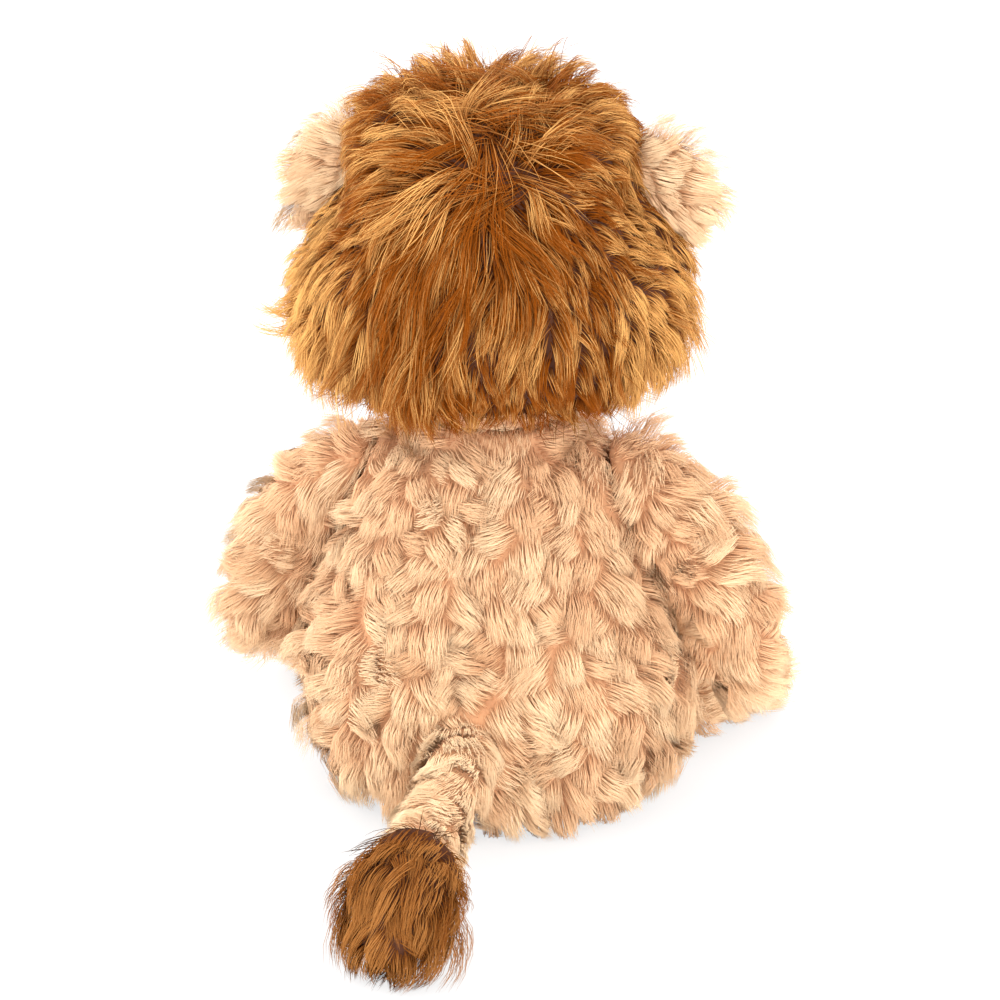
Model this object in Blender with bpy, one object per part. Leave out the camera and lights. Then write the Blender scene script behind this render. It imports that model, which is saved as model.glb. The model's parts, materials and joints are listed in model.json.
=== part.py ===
"""Seated plush lion with a long-haired mane, round ears, stub limbs and a tufted tail.

Lengths are in metres. The toy sits on the floor at Z = 0 and faces -Y, so its left side is at +X.
Every plush form is a loft through smooth stations. A station's numbers are shares of the form's
named sizes. Each form can be made again a wall thinner, which gives its stuffing and the cavity
that holds it.
"""

import math

import bmesh
import bpy
from mathutils import Matrix, Vector

MM = 0.001
UP = Vector((0.0, 0.0, 1.0))
LEFT, RIGHT = 1, -1
SIDES = {"left": LEFT, "right": RIGHT}

# Fits shared by all pieces
GAP = 0.3 * MM
SHELL = 5.0 * MM
SEAT_SINK = 0.5 * MM
OVERRUN = 12.0 * MM
ROUND_SIDES = 18
BALL_SIDES = 22
THINNEST_SHARE = 0.15
FINE_STEPS = 2
SEARCH_STEPS = 8
SHARP_ANGLE = math.radians(50.0)
INNER_SIDES_SHARE = 0.55

# Torso
NECK_HEIGHT = 158.0 * MM
TORSO_HALF_WIDTH = 78.5 * MM
TORSO_HALF_DEPTH = 67.0 * MM
TORSO_LEAN = 3.0 * MM
NECK_BORE_RADIUS = 17.0 * MM
TORSO_SIDES = 22
# height, width, depth, lean
TORSO_SHARES = (
    (0.000, 0.000, 0.000, 0.0),
    (0.002, 0.600, 0.600, 0.0),
    (0.030, 0.780, 0.780, 0.1),
    (0.080, 0.895, 0.895, 0.3),
    (0.160, 0.970, 0.970, 0.6),
    (0.280, 1.000, 1.000, 0.9),
    (0.400, 0.980, 0.975, 1.0),
    (0.540, 0.900, 0.880, 0.9),
    (0.700, 0.790, 0.765, 0.6),
    (0.850, 0.690, 0.665, 0.4),
    (0.935, 0.570, 0.560, 0.2),
    (1.000, 0.390, 0.440, 0.0),
)

# Pellet bag in the base of the torso
PELLET_BAG_CLEARANCE = 3.5 * MM
PELLET_BAG_HEIGHT = 22.0 * MM
# height, radius
PELLET_BAG_SHARES = ((0.0, 0.80), (0.25, 0.97), (0.5, 1.0), (0.75, 0.9), (0.93, 0.62), (1.0, 0.0))

# Head
HEAD_HEIGHT = 110.0 * MM
HEAD_HALF_WIDTH = 57.0 * MM
HEAD_HALF_DEPTH = 55.0 * MM
HEAD_FORWARD = 3.0 * MM
HEAD_BORE_RADIUS = 17.0 * MM
HEAD_SIDES = 22
# height, width, depth, forward
HEAD_SHARES = (
    (0.00, 0.530, 0.540, 0.0),
    (0.06, 0.720, 0.710, 0.3),
    (0.16, 0.890, 0.870, 0.7),
    (0.30, 0.990, 0.975, 1.0),
    (0.45, 1.000, 1.000, 1.0),
    (0.60, 0.960, 0.975, 1.0),
    (0.74, 0.860, 0.880, 0.9),
    (0.86, 0.690, 0.705, 0.8),
    (0.95, 0.450, 0.460, 0.7),
    (1.00, 0.000, 0.000, 0.7),
)

# Mane, a hair volume that stands on the back, crown and cheeks of the head
MANE_ABOVE_NECK = 13.0 * MM
MANE_ON_CROWN = 20.0 * MM
MANE_ON_CHEEKS = 21.0 * MM
MANE_ON_BACK = 15.0 * MM
MANE_BACKSET = 4.0 * MM
MANE_BEHIND_FACE = 28.0 * MM
MANE_LOCKS = 18
MANE_LOCK_ROWS = 4
MANE_LOCK_RELIEF = 3.0 * MM
# height, width, depth, relief of the locks
MANE_SHARES = (
    (0.00, 0.740, 0.640, 0.3),
    (0.05, 0.880, 0.790, 0.7),
    (0.14, 0.965, 0.920, 1.0),
    (0.28, 1.000, 0.995, 1.0),
    (0.40, 0.960, 1.000, 1.0),
    (0.50, 0.840, 0.985, 0.8),
    (0.60, 0.720, 0.945, 0.5),
    (0.70, 0.695, 0.885, 0.6),
    (0.80, 0.705, 0.790, 0.8),
    (0.90, 0.650, 0.640, 0.8),
    (0.965, 0.450, 0.420, 0.5),
    (1.000, 0.000, 0.000, 0.0),
)

# Muzzle and nose
MUZZLE_ABOVE_NECK = 32.0 * MM
MUZZLE_SINK = 5.0 * MM
MUZZLE_HALF_WIDTH = 28.0 * MM
MUZZLE_HALF_DEPTH = 29.0 * MM
MUZZLE_HALF_HEIGHT = 19.0 * MM
MUZZLE_CLEFT_SHARE = 0.06
MUZZLE_STEPS = 12
NOSE_ABOVE_MUZZLE = 7.5 * MM
NOSE_RADIUS = 7.5 * MM
NOSE_SINK = 1.0 * MM
NOSE_DEPTH = 17.0 * MM
NOSE_TRIANGLE_SHARE = 0.14
# depth, radius
NOSE_SHARES = ((1.0, 0.9), (0.18, 1.0), (0.09, 0.93), (0.0, 0.7))

# Eyes on stems, each held by a washer inside the head
EYE_SIDE = 22.0 * MM
EYE_ABOVE_NECK = 61.0 * MM
EYE_RADIUS = 6.5 * MM
EYE_CROWN = 4.2 * MM
EYE_CROWN_SHARES = (0.25, 0.5, 0.75)
EYE_SINK = 0.8 * MM
STEM_RADIUS = 1.8 * MM
WASHER_RADIUS = 6.0 * MM
WASHER_THICKNESS = 1.5 * MM
STEM_TAIL = 1.6 * MM

# Ears
EAR_STAND_OUT = 8.5 * MM
EAR_FORWARD = 16.0 * MM
EAR_BELOW_CROWN = 29.0 * MM
EAR_RADIUS = 25.0 * MM
EAR_THICKNESS = 15.0 * MM
EAR_TURN = math.radians(12.0)
LINING_RADIUS = 15.5 * MM
LINING_THICKNESS = 3.0 * MM
LINING_RECESS = 2.2 * MM
# thickness, radius
EAR_SHARES = ((0.0, 0.66), (0.12, 0.86), (0.34, 0.99), (0.55, 1.0), (0.78, 0.90), (0.93, 0.66), (1.0, 0.3))
LINING_SHARES = ((0.0, 1.0), (0.7, 1.0), (1.0, 0.86))

# Arms, each sewn flat against a facet of the torso's side
SHOULDER_BELOW_NECK = 27.0 * MM
SHOULDER_INSET = 30.0 * MM
ARM_TILT = math.radians(20.2)
ARM_LENGTH = 125.0 * MM
ARM_ABOVE_SHOULDER = 18.0 * MM
ARM_HALF_THICKNESS = 20.0 * MM
ARM_HALF_BREADTH = 21.5 * MM
ARM_FORWARD = 9.0 * MM
ARM_BORE_RADIUS = 5.0 * MM
ARM_SIDES = 18
# along, outward, half thickness, half breadth, forward
ARM_SHARES = (
    (0.000, 0.20, 0.00, 0.00, 0.0),
    (0.045, 0.40, 0.47, 0.64, 0.0),
    (0.130, 0.56, 0.73, 0.86, 0.0),
    (0.230, 0.74, 0.86, 0.95, 0.1),
    (0.330, 0.95, 0.96, 0.99, 0.2),
    (0.440, 1.01, 0.98, 1.00, 0.4),
    (0.560, 1.05, 1.00, 1.00, 0.55),
    (0.720, 1.04, 0.98, 1.00, 0.8),
    (0.830, 1.02, 0.94, 0.94, 0.9),
    (0.920, 0.94, 0.76, 0.78, 1.0),
    (0.975, 0.84, 0.48, 0.50, 1.0),
    (1.000, 0.78, 0.00, 0.00, 1.0),
)

# Legs, each a limb whose round root sits in a cup of the torso
LEG_SPLAY = math.radians(43.0)
HIP_INSET = 19.5 * MM
HIP_BEHIND_BELLY = 25.0 * MM
HIP_SETBACK = 10.0 * MM
LEG_RADIUS = 23.0 * MM
LEG_REACH = 54.0 * MM
LEG_BORE_RADIUS = 8.0 * MM
LEG_SIDES = 18
LEG_ROOT_STEPS = 6
# along, half breadth, half height
LEG_SHARES = (
    (0.00, 1.000, 1.000),
    (0.30, 1.010, 0.990),
    (0.55, 1.030, 1.020),
    (0.75, 1.060, 1.090),
    (0.88, 1.030, 1.080),
    (0.96, 0.920, 0.970),
    (1.00, 0.790, 0.840),
)
SOLE_THICKNESS = 2.6 * MM
# thickness, outline
SOLE_SHARES = ((0.0, 0.76), (0.6, 0.76), (1.0, 0.68))

# Tail and its tuft
TAIL_HEIGHT = 38.0 * MM
TAIL_FACET_INSET = 7.0 * MM
TAIL_SETBACK = 8.0 * MM
TAIL_FACET_RISE = math.radians(12.0)
TAIL_DROP = math.radians(12.5)
TAIL_YAW = math.radians(4.0)
TAIL_RADIUS = 15.5 * MM
TAIL_LENGTH = 68.0 * MM
TAIL_BORE_RADIUS = 5.0 * MM
TAIL_SIDES = 16
TAIL_ROOT_STEPS = 5
# along, radius
TAIL_SHARES = ((0.0, 1.0), (0.3, 0.97), (0.6, 0.92), (0.85, 0.85), (0.96, 0.66), (1.0, 0.35))
TUFT_START = 56.0 * MM
TUFT_LENGTH = 50.0 * MM
TUFT_RADIUS = 25.0 * MM
TUFT_SIDES = 18
# along, radius
TUFT_SHARES = (
    (0.00, 0.68),
    (0.12, 0.88),
    (0.32, 1.00),
    (0.52, 0.98),
    (0.70, 0.86),
    (0.85, 0.64),
    (0.96, 0.34),
    (1.00, 0.00),
)


def clear_scene():
    """Remove what the scene holds at the start."""
    for thing in list(bpy.data.objects):
        bpy.data.objects.remove(thing, do_unlink=True)


def material(name, colour, roughness, metallic=0.0):
    """Return a Principled material."""
    finish = bpy.data.materials.new(name)
    finish.use_nodes = True
    shader = finish.node_tree.nodes["Principled BSDF"]
    shader.inputs["Base Color"].default_value = (*colour, 1.0)
    shader.inputs["Roughness"].default_value = roughness
    shader.inputs["Metallic"].default_value = metallic
    return finish


def curve_value(before, start, end, after, t):
    """Return the value at t of a smooth curve from start to end, led by the values before and after."""
    bend = 2 * before - 5 * start + 4 * end - after
    twist = 3 * start - before - 3 * end + after
    return 0.5 * (2 * start + (end - before) * t + bend * t**2 + twist * t**3)


def smooth(stations, steps):
    """Return the stations with smooth ones between them, steps to a span."""
    last = len(stations) - 1
    fine = []
    for index in range(last):
        before = stations[max(index - 1, 0)]
        start, end = stations[index], stations[index + 1]
        after = stations[min(index + 2, last)]
        for step in range(steps):
            values = zip(before, start, end, after)
            fine.append(tuple(curve_value(*four, step / steps) for four in values))
    fine.append(stations[last])
    return fine


def detail(sides, inset):
    """Return the steps and sides of a form: an outer one is fine, and one inside a wall is plainer."""
    return (1, 2 * round(sides * INNER_SIDES_SHARE / 2)) if inset > 0.0 else (FINE_STEPS, sides)


def thinner(size, inset):
    """Return a half size made smaller by the inset, without passing its middle. A pole stays a pole."""
    return max(size - inset, THINNEST_SHARE * size) if size else 0.0


def oval(centre, first, second, half_first, half_second, sides):
    """Return the points of an oval, or its centre alone where it has no size."""
    if half_first <= 0.0 or half_second <= 0.0:
        return [centre]
    points = []
    for k in range(sides):
        turn = math.tau * k / sides
        across = first * (half_first * math.cos(turn))
        points.append(centre + across + second * (half_second * math.sin(turn)))
    return points


def add_object(name, form):
    """Turn a bmesh into a named object."""
    bmesh.ops.recalc_face_normals(form, faces=form.faces)
    mesh = bpy.data.meshes.new(name)
    form.to_mesh(mesh)
    form.free()
    mesh.shade_smooth()
    mesh.set_sharp_from_angle(angle=SHARP_ANGLE)
    thing = bpy.data.objects.new(name, mesh)
    bpy.context.collection.objects.link(thing)
    return thing


def loft(name, rings):
    """Skin rings of equal count into one closed form. A ring of one point is a pole."""
    form = bmesh.new()
    loops = [[form.verts.new(point) for point in ring] for ring in rings]
    for lower, upper in zip(loops, loops[1:]):
        count = max(len(lower), len(upper))
        for k in range(count):
            corners = [lower[k % len(lower)], lower[(k + 1) % len(lower)]]
            corners += [upper[(k + 1) % len(upper)], upper[k % len(upper)]]
            form.faces.new(list(dict.fromkeys(corners)))
    for loop in (loops[0], loops[-1]):
        if len(loop) > 1:
            form.faces.new(loop)
    return add_object(name, form)


def trim(thing, point, normal):
    """Cut away what lies beyond a plane, and close the cut with a flat face."""
    form = bmesh.new()
    form.from_mesh(thing.data)
    everything = form.verts[:] + form.edges[:] + form.faces[:]
    bmesh.ops.bisect_plane(form, geom=everything, plane_co=point, plane_no=normal, clear_outer=True)
    rim = [edge for edge in form.edges if edge.is_boundary]
    if rim:
        bmesh.ops.holes_fill(form, edges=rim, sides=0)
    bmesh.ops.recalc_face_normals(form, faces=form.faces)
    form.to_mesh(thing.data)
    form.free()


def guide(thing):
    """Mark an object as a cutter that isn't part of the toy."""
    thing.hide_render = True
    thing.display_type = "WIRE"
    return thing


def cut(thing, cutter):
    """Take a cutter's shape out of an object."""
    boolean = thing.modifiers.new(cutter.name, "BOOLEAN")
    boolean.operation = "DIFFERENCE"
    boolean.solver = "EXACT"
    boolean.object = guide(cutter)


def ball(name, centre, radius):
    """Return a ball whose flat facets all stay outside the radius."""
    form = bmesh.new()
    corner = radius / math.cos(math.pi / BALL_SIDES) ** 2
    bmesh.ops.create_uvsphere(form, u_segments=BALL_SIDES, v_segments=BALL_SIDES // 2, radius=corner)
    bmesh.ops.translate(form, verts=form.verts, vec=centre)
    return add_object(name, form)


def rod(name, start, end, radius):
    """Return a round rod between two points."""
    first, second = square_axes(end - start)
    rings = [oval(point, first, second, radius, radius, ROUND_SIDES) for point in (start, end)]
    return loft(name, rings)


def square_axes(direction):
    """Return two unit vectors square to a direction and to each other."""
    along = direction.normalized()
    first = UP.cross(along)
    if first.length < 0.5:
        first = Vector((1.0, 0.0, 0.0))
    first.normalize()
    return first, along.cross(first)


def turned(name, start, direction, profile):
    """Turn a profile of (along, radius) pairs about an axis."""
    first, second = square_axes(direction)
    along = direction.normalized()
    return loft(name, [oval(start + along * s, first, second, r, r, ROUND_SIDES) for s, r in profile])


def finish_piece(thing, finish, pivot=None):
    """Give a piece its material, and hang it on the pivot that it turns about."""
    thing.data.materials.append(finish)
    if pivot is not None:
        thing.data.transform(Matrix.Translation(-pivot.location))
        thing.parent = pivot
    return thing


def add_pivot(name, place):
    """Add an empty that stands on a joint's axis."""
    pivot = bpy.data.objects.new(name, None)
    pivot.location = place
    bpy.context.collection.objects.link(pivot)
    bpy.context.view_layer.update()
    return pivot


def shoulder_point(side):
    """Return the place on the torso's facet about which an arm turns."""
    return Vector((side * (TORSO_HALF_WIDTH - SHOULDER_INSET), 0.0, NECK_HEIGHT - SHOULDER_BELOW_NECK))


def arm_outward(side):
    """Return the normal of the facet that an arm is sewn to."""
    return Vector((side * math.cos(ARM_TILT), 0.0, math.sin(ARM_TILT)))


def arm_downward(side):
    """Return the direction down the facet, along the arm."""
    return Vector((side * math.sin(ARM_TILT), 0.0, -math.cos(ARM_TILT)))


def leg_forward(side):
    """Return the level direction in which a leg points."""
    return Vector((side * math.sin(LEG_SPLAY), -math.cos(LEG_SPLAY), 0.0))


def hip_point(side):
    """Return the centre of a leg's round root."""
    across, forward = TORSO_HALF_WIDTH - HIP_INSET, TORSO_HALF_DEPTH - HIP_BEHIND_BELLY
    return Vector((side * across, -forward, LEG_RADIUS - SEAT_SINK))


def tail_facet_normal():
    """Return the normal of the facet that the tail stands on."""
    return Vector((0.0, math.cos(TAIL_FACET_RISE), math.sin(TAIL_FACET_RISE)))


def tail_root():
    """Return the centre of the tail's round root."""
    facet = Vector((0.0, TORSO_HALF_DEPTH - TAIL_FACET_INSET, TAIL_HEIGHT))
    return facet + tail_facet_normal() * TAIL_SETBACK


def tail_direction():
    """Return the direction in which the tail runs down to the floor."""
    level = math.cos(TAIL_DROP)
    return Vector((level * math.sin(TAIL_YAW), level * math.cos(TAIL_YAW), -math.sin(TAIL_DROP)))


def torso_form(name, inset):
    """Loft the torso, thinner by the inset, with its facets and the cups for legs and tail."""
    low = -SEAT_SINK + inset
    height = NECK_HEIGHT - inset - low
    steps, sides = detail(TORSO_SIDES, inset)
    rings = []
    for rise, width, depth, lean in smooth(TORSO_SHARES, steps):
        centre = Vector((0.0, -lean * TORSO_LEAN, low + rise * height))
        half_width = thinner(width * TORSO_HALF_WIDTH, inset)
        half_depth = thinner(depth * TORSO_HALF_DEPTH, inset)
        rings.append(oval(centre, Vector((1, 0, 0)), Vector((0, 1, 0)), half_width, half_depth, sides))
    torso = loft(name, rings)
    trim(torso, Vector((0.0, 0.0, 0.0)), -UP)
    for label, side in SIDES.items():
        outward = arm_outward(side)
        trim(torso, shoulder_point(side) - outward * inset, outward)
        forward = leg_forward(side)
        trim(torso, hip_point(side) - forward * (HIP_SETBACK + inset), forward)
        cut(torso, ball(f"guide_{name}_{label}_hip", hip_point(side), LEG_RADIUS + GAP + inset))
    backward = tail_facet_normal()
    trim(torso, tail_root() - backward * (TAIL_SETBACK + inset), backward)
    cut(torso, ball(f"guide_{name}_tail", tail_root(), TAIL_RADIUS + GAP + inset))
    return torso


def pellet_bag_form(name, grow, drop):
    """Turn the flat round bag of pellets that lies between the hips, larger by grow, and lower by drop."""
    floor = SHELL + GAP
    bag_radius = hip_point(LEFT).xy.length - LEG_RADIUS - SHELL - PELLET_BAG_CLEARANCE
    first, second = Vector((1.0, 0.0, 0.0)), Vector((0.0, 1.0, 0.0))
    rings = []
    if drop:
        base = PELLET_BAG_SHARES[0][1] * bag_radius + grow
        rings.append(oval(Vector((0.0, 0.0, floor - drop)), first, second, base, base, ROUND_SIDES))
    for rise, share in PELLET_BAG_SHARES:
        radius = thinner(share * bag_radius, -grow)
        lift = (2.0 * rise - 1.0) * grow
        centre = Vector((0.0, 0.0, floor + rise * PELLET_BAG_HEIGHT + lift))
        rings.append(oval(centre, first, second, radius, radius, ROUND_SIDES))
    return loft(name, rings)


def add_torso(plush, stuffing, pellets):
    """Add the torso's plush shell, its stuffing and the pellet bag that steadies it."""
    shell = torso_form("torso_shell", 0.0)
    cut(shell, torso_form("guide_torso_cavity", SHELL))
    mouth = Vector((0.0, 0.0, NECK_HEIGHT))
    cut(shell, rod("guide_torso_mouth", mouth - UP * OVERRUN, mouth + UP * OVERRUN, NECK_BORE_RADIUS))
    finish_piece(shell, plush)
    filling = torso_form("torso_filling", SHELL + GAP)
    cut(filling, pellet_bag_form("guide_pellet_bag", GAP, OVERRUN))
    finish_piece(filling, stuffing)
    finish_piece(pellet_bag_form("pellet_bag", 0.0, 0.0), pellets)


def head_form(name, inset):
    """Loft the head's skull, thinner by the inset, flat where it meets the neck."""
    low = NECK_HEIGHT + GAP + inset
    height = HEAD_HEIGHT - 2 * inset
    steps, sides = detail(HEAD_SIDES, inset)
    rings = []
    for rise, width, depth, forward in smooth(HEAD_SHARES, steps):
        centre = Vector((0.0, -forward * HEAD_FORWARD, low + rise * height))
        half_width = thinner(width * HEAD_HALF_WIDTH, inset)
        half_depth = thinner(depth * HEAD_HALF_DEPTH, inset)
        rings.append(oval(centre, Vector((1, 0, 0)), Vector((0, 1, 0)), half_width, half_depth, sides))
    return loft(name, rings)


def head_section(above_neck):
    """Return the head's half width, half depth and forward lean at a height above the neck."""
    level = above_neck / HEAD_HEIGHT
    stations = smooth(HEAD_SHARES, SEARCH_STEPS)
    width, depth, forward = min(stations, key=lambda station: abs(station[0] - level))[1:]
    return width * HEAD_HALF_WIDTH, depth * HEAD_HALF_DEPTH, forward * HEAD_FORWARD


def eye_axis(side):
    """Return the place on the face where an eye sits, and the face's outward normal there."""
    half_width, half_depth, forward = head_section(EYE_ABOVE_NECK)
    reach = half_depth * math.sqrt(1.0 - (EYE_SIDE / half_width) ** 2)
    place = Vector((side * EYE_SIDE, -reach - forward, NECK_HEIGHT + EYE_ABOVE_NECK))
    outward = Vector((side * EYE_SIDE / half_width**2, -reach / half_depth**2, 0.0)).normalized()
    return place, outward


def stem_length():
    """Return how far an eye's stem reaches in from the eye's flat back."""
    return SHELL + GAP + WASHER_THICKNESS + STEM_TAIL


def eye_profile(grow):
    """Return the profile of an eye, from the stem's inner end to the crown, larger by grow."""
    back = -EYE_SINK
    profile = [(back - stem_length() - grow, 0.0), (back - stem_length() - grow, STEM_RADIUS + grow)]
    profile += [(back - grow, STEM_RADIUS + grow), (back - grow, EYE_RADIUS + grow)]
    for share in EYE_CROWN_SHARES:
        angle = share * math.pi / 2
        profile.append((back + EYE_CROWN * math.sin(angle) + grow, (EYE_RADIUS + grow) * math.cos(angle)))
    profile.append((back + EYE_CROWN + grow, 0.0))
    return profile


def washer_place(side):
    """Return the middle of the outer face of an eye's washer."""
    place, outward = eye_axis(side)
    return place - outward * (EYE_SINK + SHELL + GAP)


def eye_pocket(name, side, outer_reach):
    """Return the cutter that clears an eye's stem and washer, from outer_reach outside the washer."""
    outward = eye_axis(side)[1]
    inner_reach = WASHER_THICKNESS + STEM_TAIL + OVERRUN
    start = washer_place(side) + outward * outer_reach
    return rod(name, start, washer_place(side) - outward * inner_reach, WASHER_RADIUS + GAP)


def add_eye(label, side, glossy, hard, pivot):
    """Add an eye and the washer that locks its stem inside the head."""
    place, outward = eye_axis(side)
    finish_piece(turned(f"{label}_eye", place, outward, eye_profile(0.0)), glossy, pivot)
    face = washer_place(side)
    washer = rod(f"{label}_eye_washer", face, face - outward * WASHER_THICKNESS, WASHER_RADIUS)
    hole_start, hole_end = face + outward * GAP, face - outward * OVERRUN
    cut(washer, rod(f"guide_{label}_washer_hole", hole_start, hole_end, STEM_RADIUS + GAP))
    finish_piece(washer, hard, pivot)


def muzzle_centre():
    """Return the middle of the muzzle, a little inside the front of the head."""
    return Vector((0.0, MUZZLE_SINK - HEAD_HALF_DEPTH, NECK_HEIGHT + MUZZLE_ABOVE_NECK))


def muzzle_form(name, grow):
    """Loft the muzzle's two soft lobes, larger by grow."""
    centre = muzzle_centre()
    rings = []
    for k in range(MUZZLE_STEPS + 1):
        angle = math.pi * k / MUZZLE_STEPS
        swell = math.sin(angle)
        place = centre - Vector((0.0, (MUZZLE_HALF_DEPTH + grow) * math.cos(angle), 0.0))
        if k in (0, MUZZLE_STEPS):
            rings.append([place])
            continue
        ring = []
        for j in range(ROUND_SIDES):
            turn = math.tau * j / ROUND_SIDES
            lobes = 1.0 - MUZZLE_CLEFT_SHARE * (1.0 + math.cos(2.0 * (turn - math.pi / 2))) / 2
            across = (MUZZLE_HALF_WIDTH + grow) * swell * math.cos(turn)
            rise = (MUZZLE_HALF_HEIGHT + grow) * swell * lobes * math.sin(turn)
            ring.append(place + Vector((across, 0.0, rise)))
        rings.append(ring)
    return loft(name, rings)


def add_muzzle(plush, velour, pivot):
    """Add the muzzle on the face, and the rounded triangle of the nose on the muzzle."""
    muzzle = muzzle_form("muzzle", 0.0)
    cut(muzzle, head_form("guide_muzzle_seat", -GAP))
    finish_piece(muzzle, plush, pivot)
    centre = muzzle_centre()
    front = centre.y - MUZZLE_HALF_DEPTH + NOSE_SINK
    rings = []
    for reach, size in NOSE_SHARES:
        ring = []
        for j in range(ROUND_SIDES):
            turn = math.tau * j / ROUND_SIDES
            radius = NOSE_RADIUS * size * (1.0 - NOSE_TRIANGLE_SHARE * math.sin(3.0 * turn))
            height = centre.z + NOSE_ABOVE_MUZZLE + radius * math.sin(turn)
            ring.append(Vector((radius * math.cos(turn), front + reach * NOSE_DEPTH, height)))
        rings.append(ring)
    nose = loft("nose", rings)
    cut(nose, muzzle_form("guide_nose_seat", GAP))
    cut(nose, head_form("guide_nose_face", -GAP))
    finish_piece(nose, velour, pivot)


def ear_axis(side):
    """Return the middle of an ear's front, and the direction from its front to its back."""
    backward = Vector((-side * math.sin(EAR_TURN), math.cos(EAR_TURN), 0.0))
    above_neck = HEAD_HEIGHT - EAR_BELOW_CROWN
    ear_side = head_section(above_neck)[0] + EAR_STAND_OUT
    centre = Vector((side * ear_side, -EAR_FORWARD, NECK_HEIGHT + above_neck))
    return centre - backward * (EAR_THICKNESS / 2), backward


def ear_form(name, side, grow):
    """Turn an ear's thick round pad, larger by grow."""
    front, backward = ear_axis(side)
    depth = EAR_THICKNESS + 2 * grow
    stations = smooth(EAR_SHARES, FINE_STEPS)
    profile = [(share * depth - grow, size * EAR_RADIUS + grow) for share, size in stations]
    return turned(name, front, backward, profile)


def ear_recess(name, side):
    """Return the cutter that clears the room of an ear's lining."""
    front, backward = ear_axis(side)
    floor = front + backward * LINING_RECESS
    return rod(name, floor - backward * OVERRUN, floor, LINING_RADIUS + GAP)


def add_ear(label, side, plush, lining, pivot):
    """Add an ear and the short-haired lining that is let into its front."""
    front, backward = ear_axis(side)
    floor = front + backward * LINING_RECESS
    ear = ear_form(f"{label}_ear", side, 0.0)
    cut(ear, ear_recess(f"guide_{label}_ear_recess", side))
    cut(ear, head_form(f"guide_{label}_ear_seat", -GAP))
    finish_piece(ear, plush, pivot)
    profile = [(GAP + rise * LINING_THICKNESS, size * LINING_RADIUS) for rise, size in LINING_SHARES]
    pad = turned(f"{label}_ear_lining", floor, -backward, profile)
    cut(pad, head_form(f"guide_{label}_lining_seat", -GAP))
    finish_piece(pad, lining, pivot)


def mane_ring(rise, width, depth, relief):
    """Return one ring of the mane. Its locks stand out in turn, and are staggered from row to row."""
    height = HEAD_HEIGHT + MANE_ON_CROWN - MANE_ABOVE_NECK
    centre = Vector((0.0, MANE_BACKSET, NECK_HEIGHT + MANE_ABOVE_NECK + rise * height))
    half_width = width * (HEAD_HALF_WIDTH + MANE_ON_CHEEKS)
    half_depth = depth * (HEAD_HALF_DEPTH + MANE_ON_BACK)
    ring = oval(centre, Vector((1, 0, 0)), Vector((0, 1, 0)), half_width, half_depth, 2 * MANE_LOCKS)
    swell = MANE_LOCK_RELIEF * relief * math.cos(math.pi * MANE_LOCK_ROWS * rise)
    for k, point in enumerate(ring):
        point += (point - centre).normalized() * (swell if k % 2 else -swell)
    return ring


def add_mane(hair, pivot):
    """Add the mane's hair volume, open to the face, the neck and the ears."""
    mane = loft("mane", [mane_ring(*station) for station in smooth(MANE_SHARES, FINE_STEPS)])
    trim(mane, Vector((0.0, MANE_BEHIND_FACE - HEAD_HALF_DEPTH, 0.0)), Vector((0.0, -1.0, 0.0)))
    cut(mane, head_form("guide_mane_lining", -GAP))
    for label, side in SIDES.items():
        cut(mane, ear_form(f"guide_mane_{label}_ear", side, GAP))
        cut(mane, ear_recess(f"guide_mane_{label}_lining", side))
    finish_piece(mane, hair, pivot)


def add_head(finishes):
    """Add everything that turns with the neck."""
    pivot = add_pivot("neck_pivot", Vector((0.0, 0.0, NECK_HEIGHT)))
    shell = head_form("head_shell", 0.0)
    cut(shell, head_form("guide_head_cavity", SHELL))
    mouth = Vector((0.0, 0.0, NECK_HEIGHT))
    cut(shell, rod("guide_head_mouth", mouth - UP * OVERRUN, mouth + UP * OVERRUN, HEAD_BORE_RADIUS))
    filling = head_form("head_filling", SHELL + GAP)
    for label, side in SIDES.items():
        place, outward = eye_axis(side)
        cut(shell, turned(f"guide_{label}_eye_seat", place, outward, eye_profile(GAP)))
        cut(shell, eye_pocket(f"guide_{label}_eye_pocket", side, GAP))
        cut(filling, eye_pocket(f"guide_{label}_filling_pocket", side, SHELL))
        add_eye(label, side, finishes["eye"], finishes["washer"], pivot)
        add_ear(label, side, finishes["plush"], finishes["lining"], pivot)
    finish_piece(shell, finishes["plush"], pivot)
    finish_piece(filling, finishes["stuffing"], pivot)
    add_muzzle(finishes["lining"], finishes["velour"], pivot)
    add_mane(finishes["hair"], pivot)


def arm_form(name, side, inset):
    """Loft an arm down the torso's side, thinner by the inset, with a flat root."""
    shoulder, outward, downward = shoulder_point(side), arm_outward(side), arm_downward(side)
    forward = Vector((0.0, -1.0, 0.0))
    reach = ARM_LENGTH - 2 * inset
    steps, sides = detail(ARM_SIDES, inset)
    rings = []
    for along, offset, thickness, breadth, lean in smooth(ARM_SHARES, steps):
        centre = shoulder + downward * (along * reach + inset - ARM_ABOVE_SHOULDER)
        centre = centre + outward * (offset * ARM_HALF_THICKNESS) + forward * (lean * ARM_FORWARD)
        half_thickness = thinner(thickness * ARM_HALF_THICKNESS, inset)
        half_breadth = thinner(breadth * ARM_HALF_BREADTH, inset)
        rings.append(oval(centre, outward, forward, half_thickness, half_breadth, sides))
    arm = loft(name, rings)
    trim(arm, shoulder + outward * (GAP + inset), -outward)
    return arm


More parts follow.
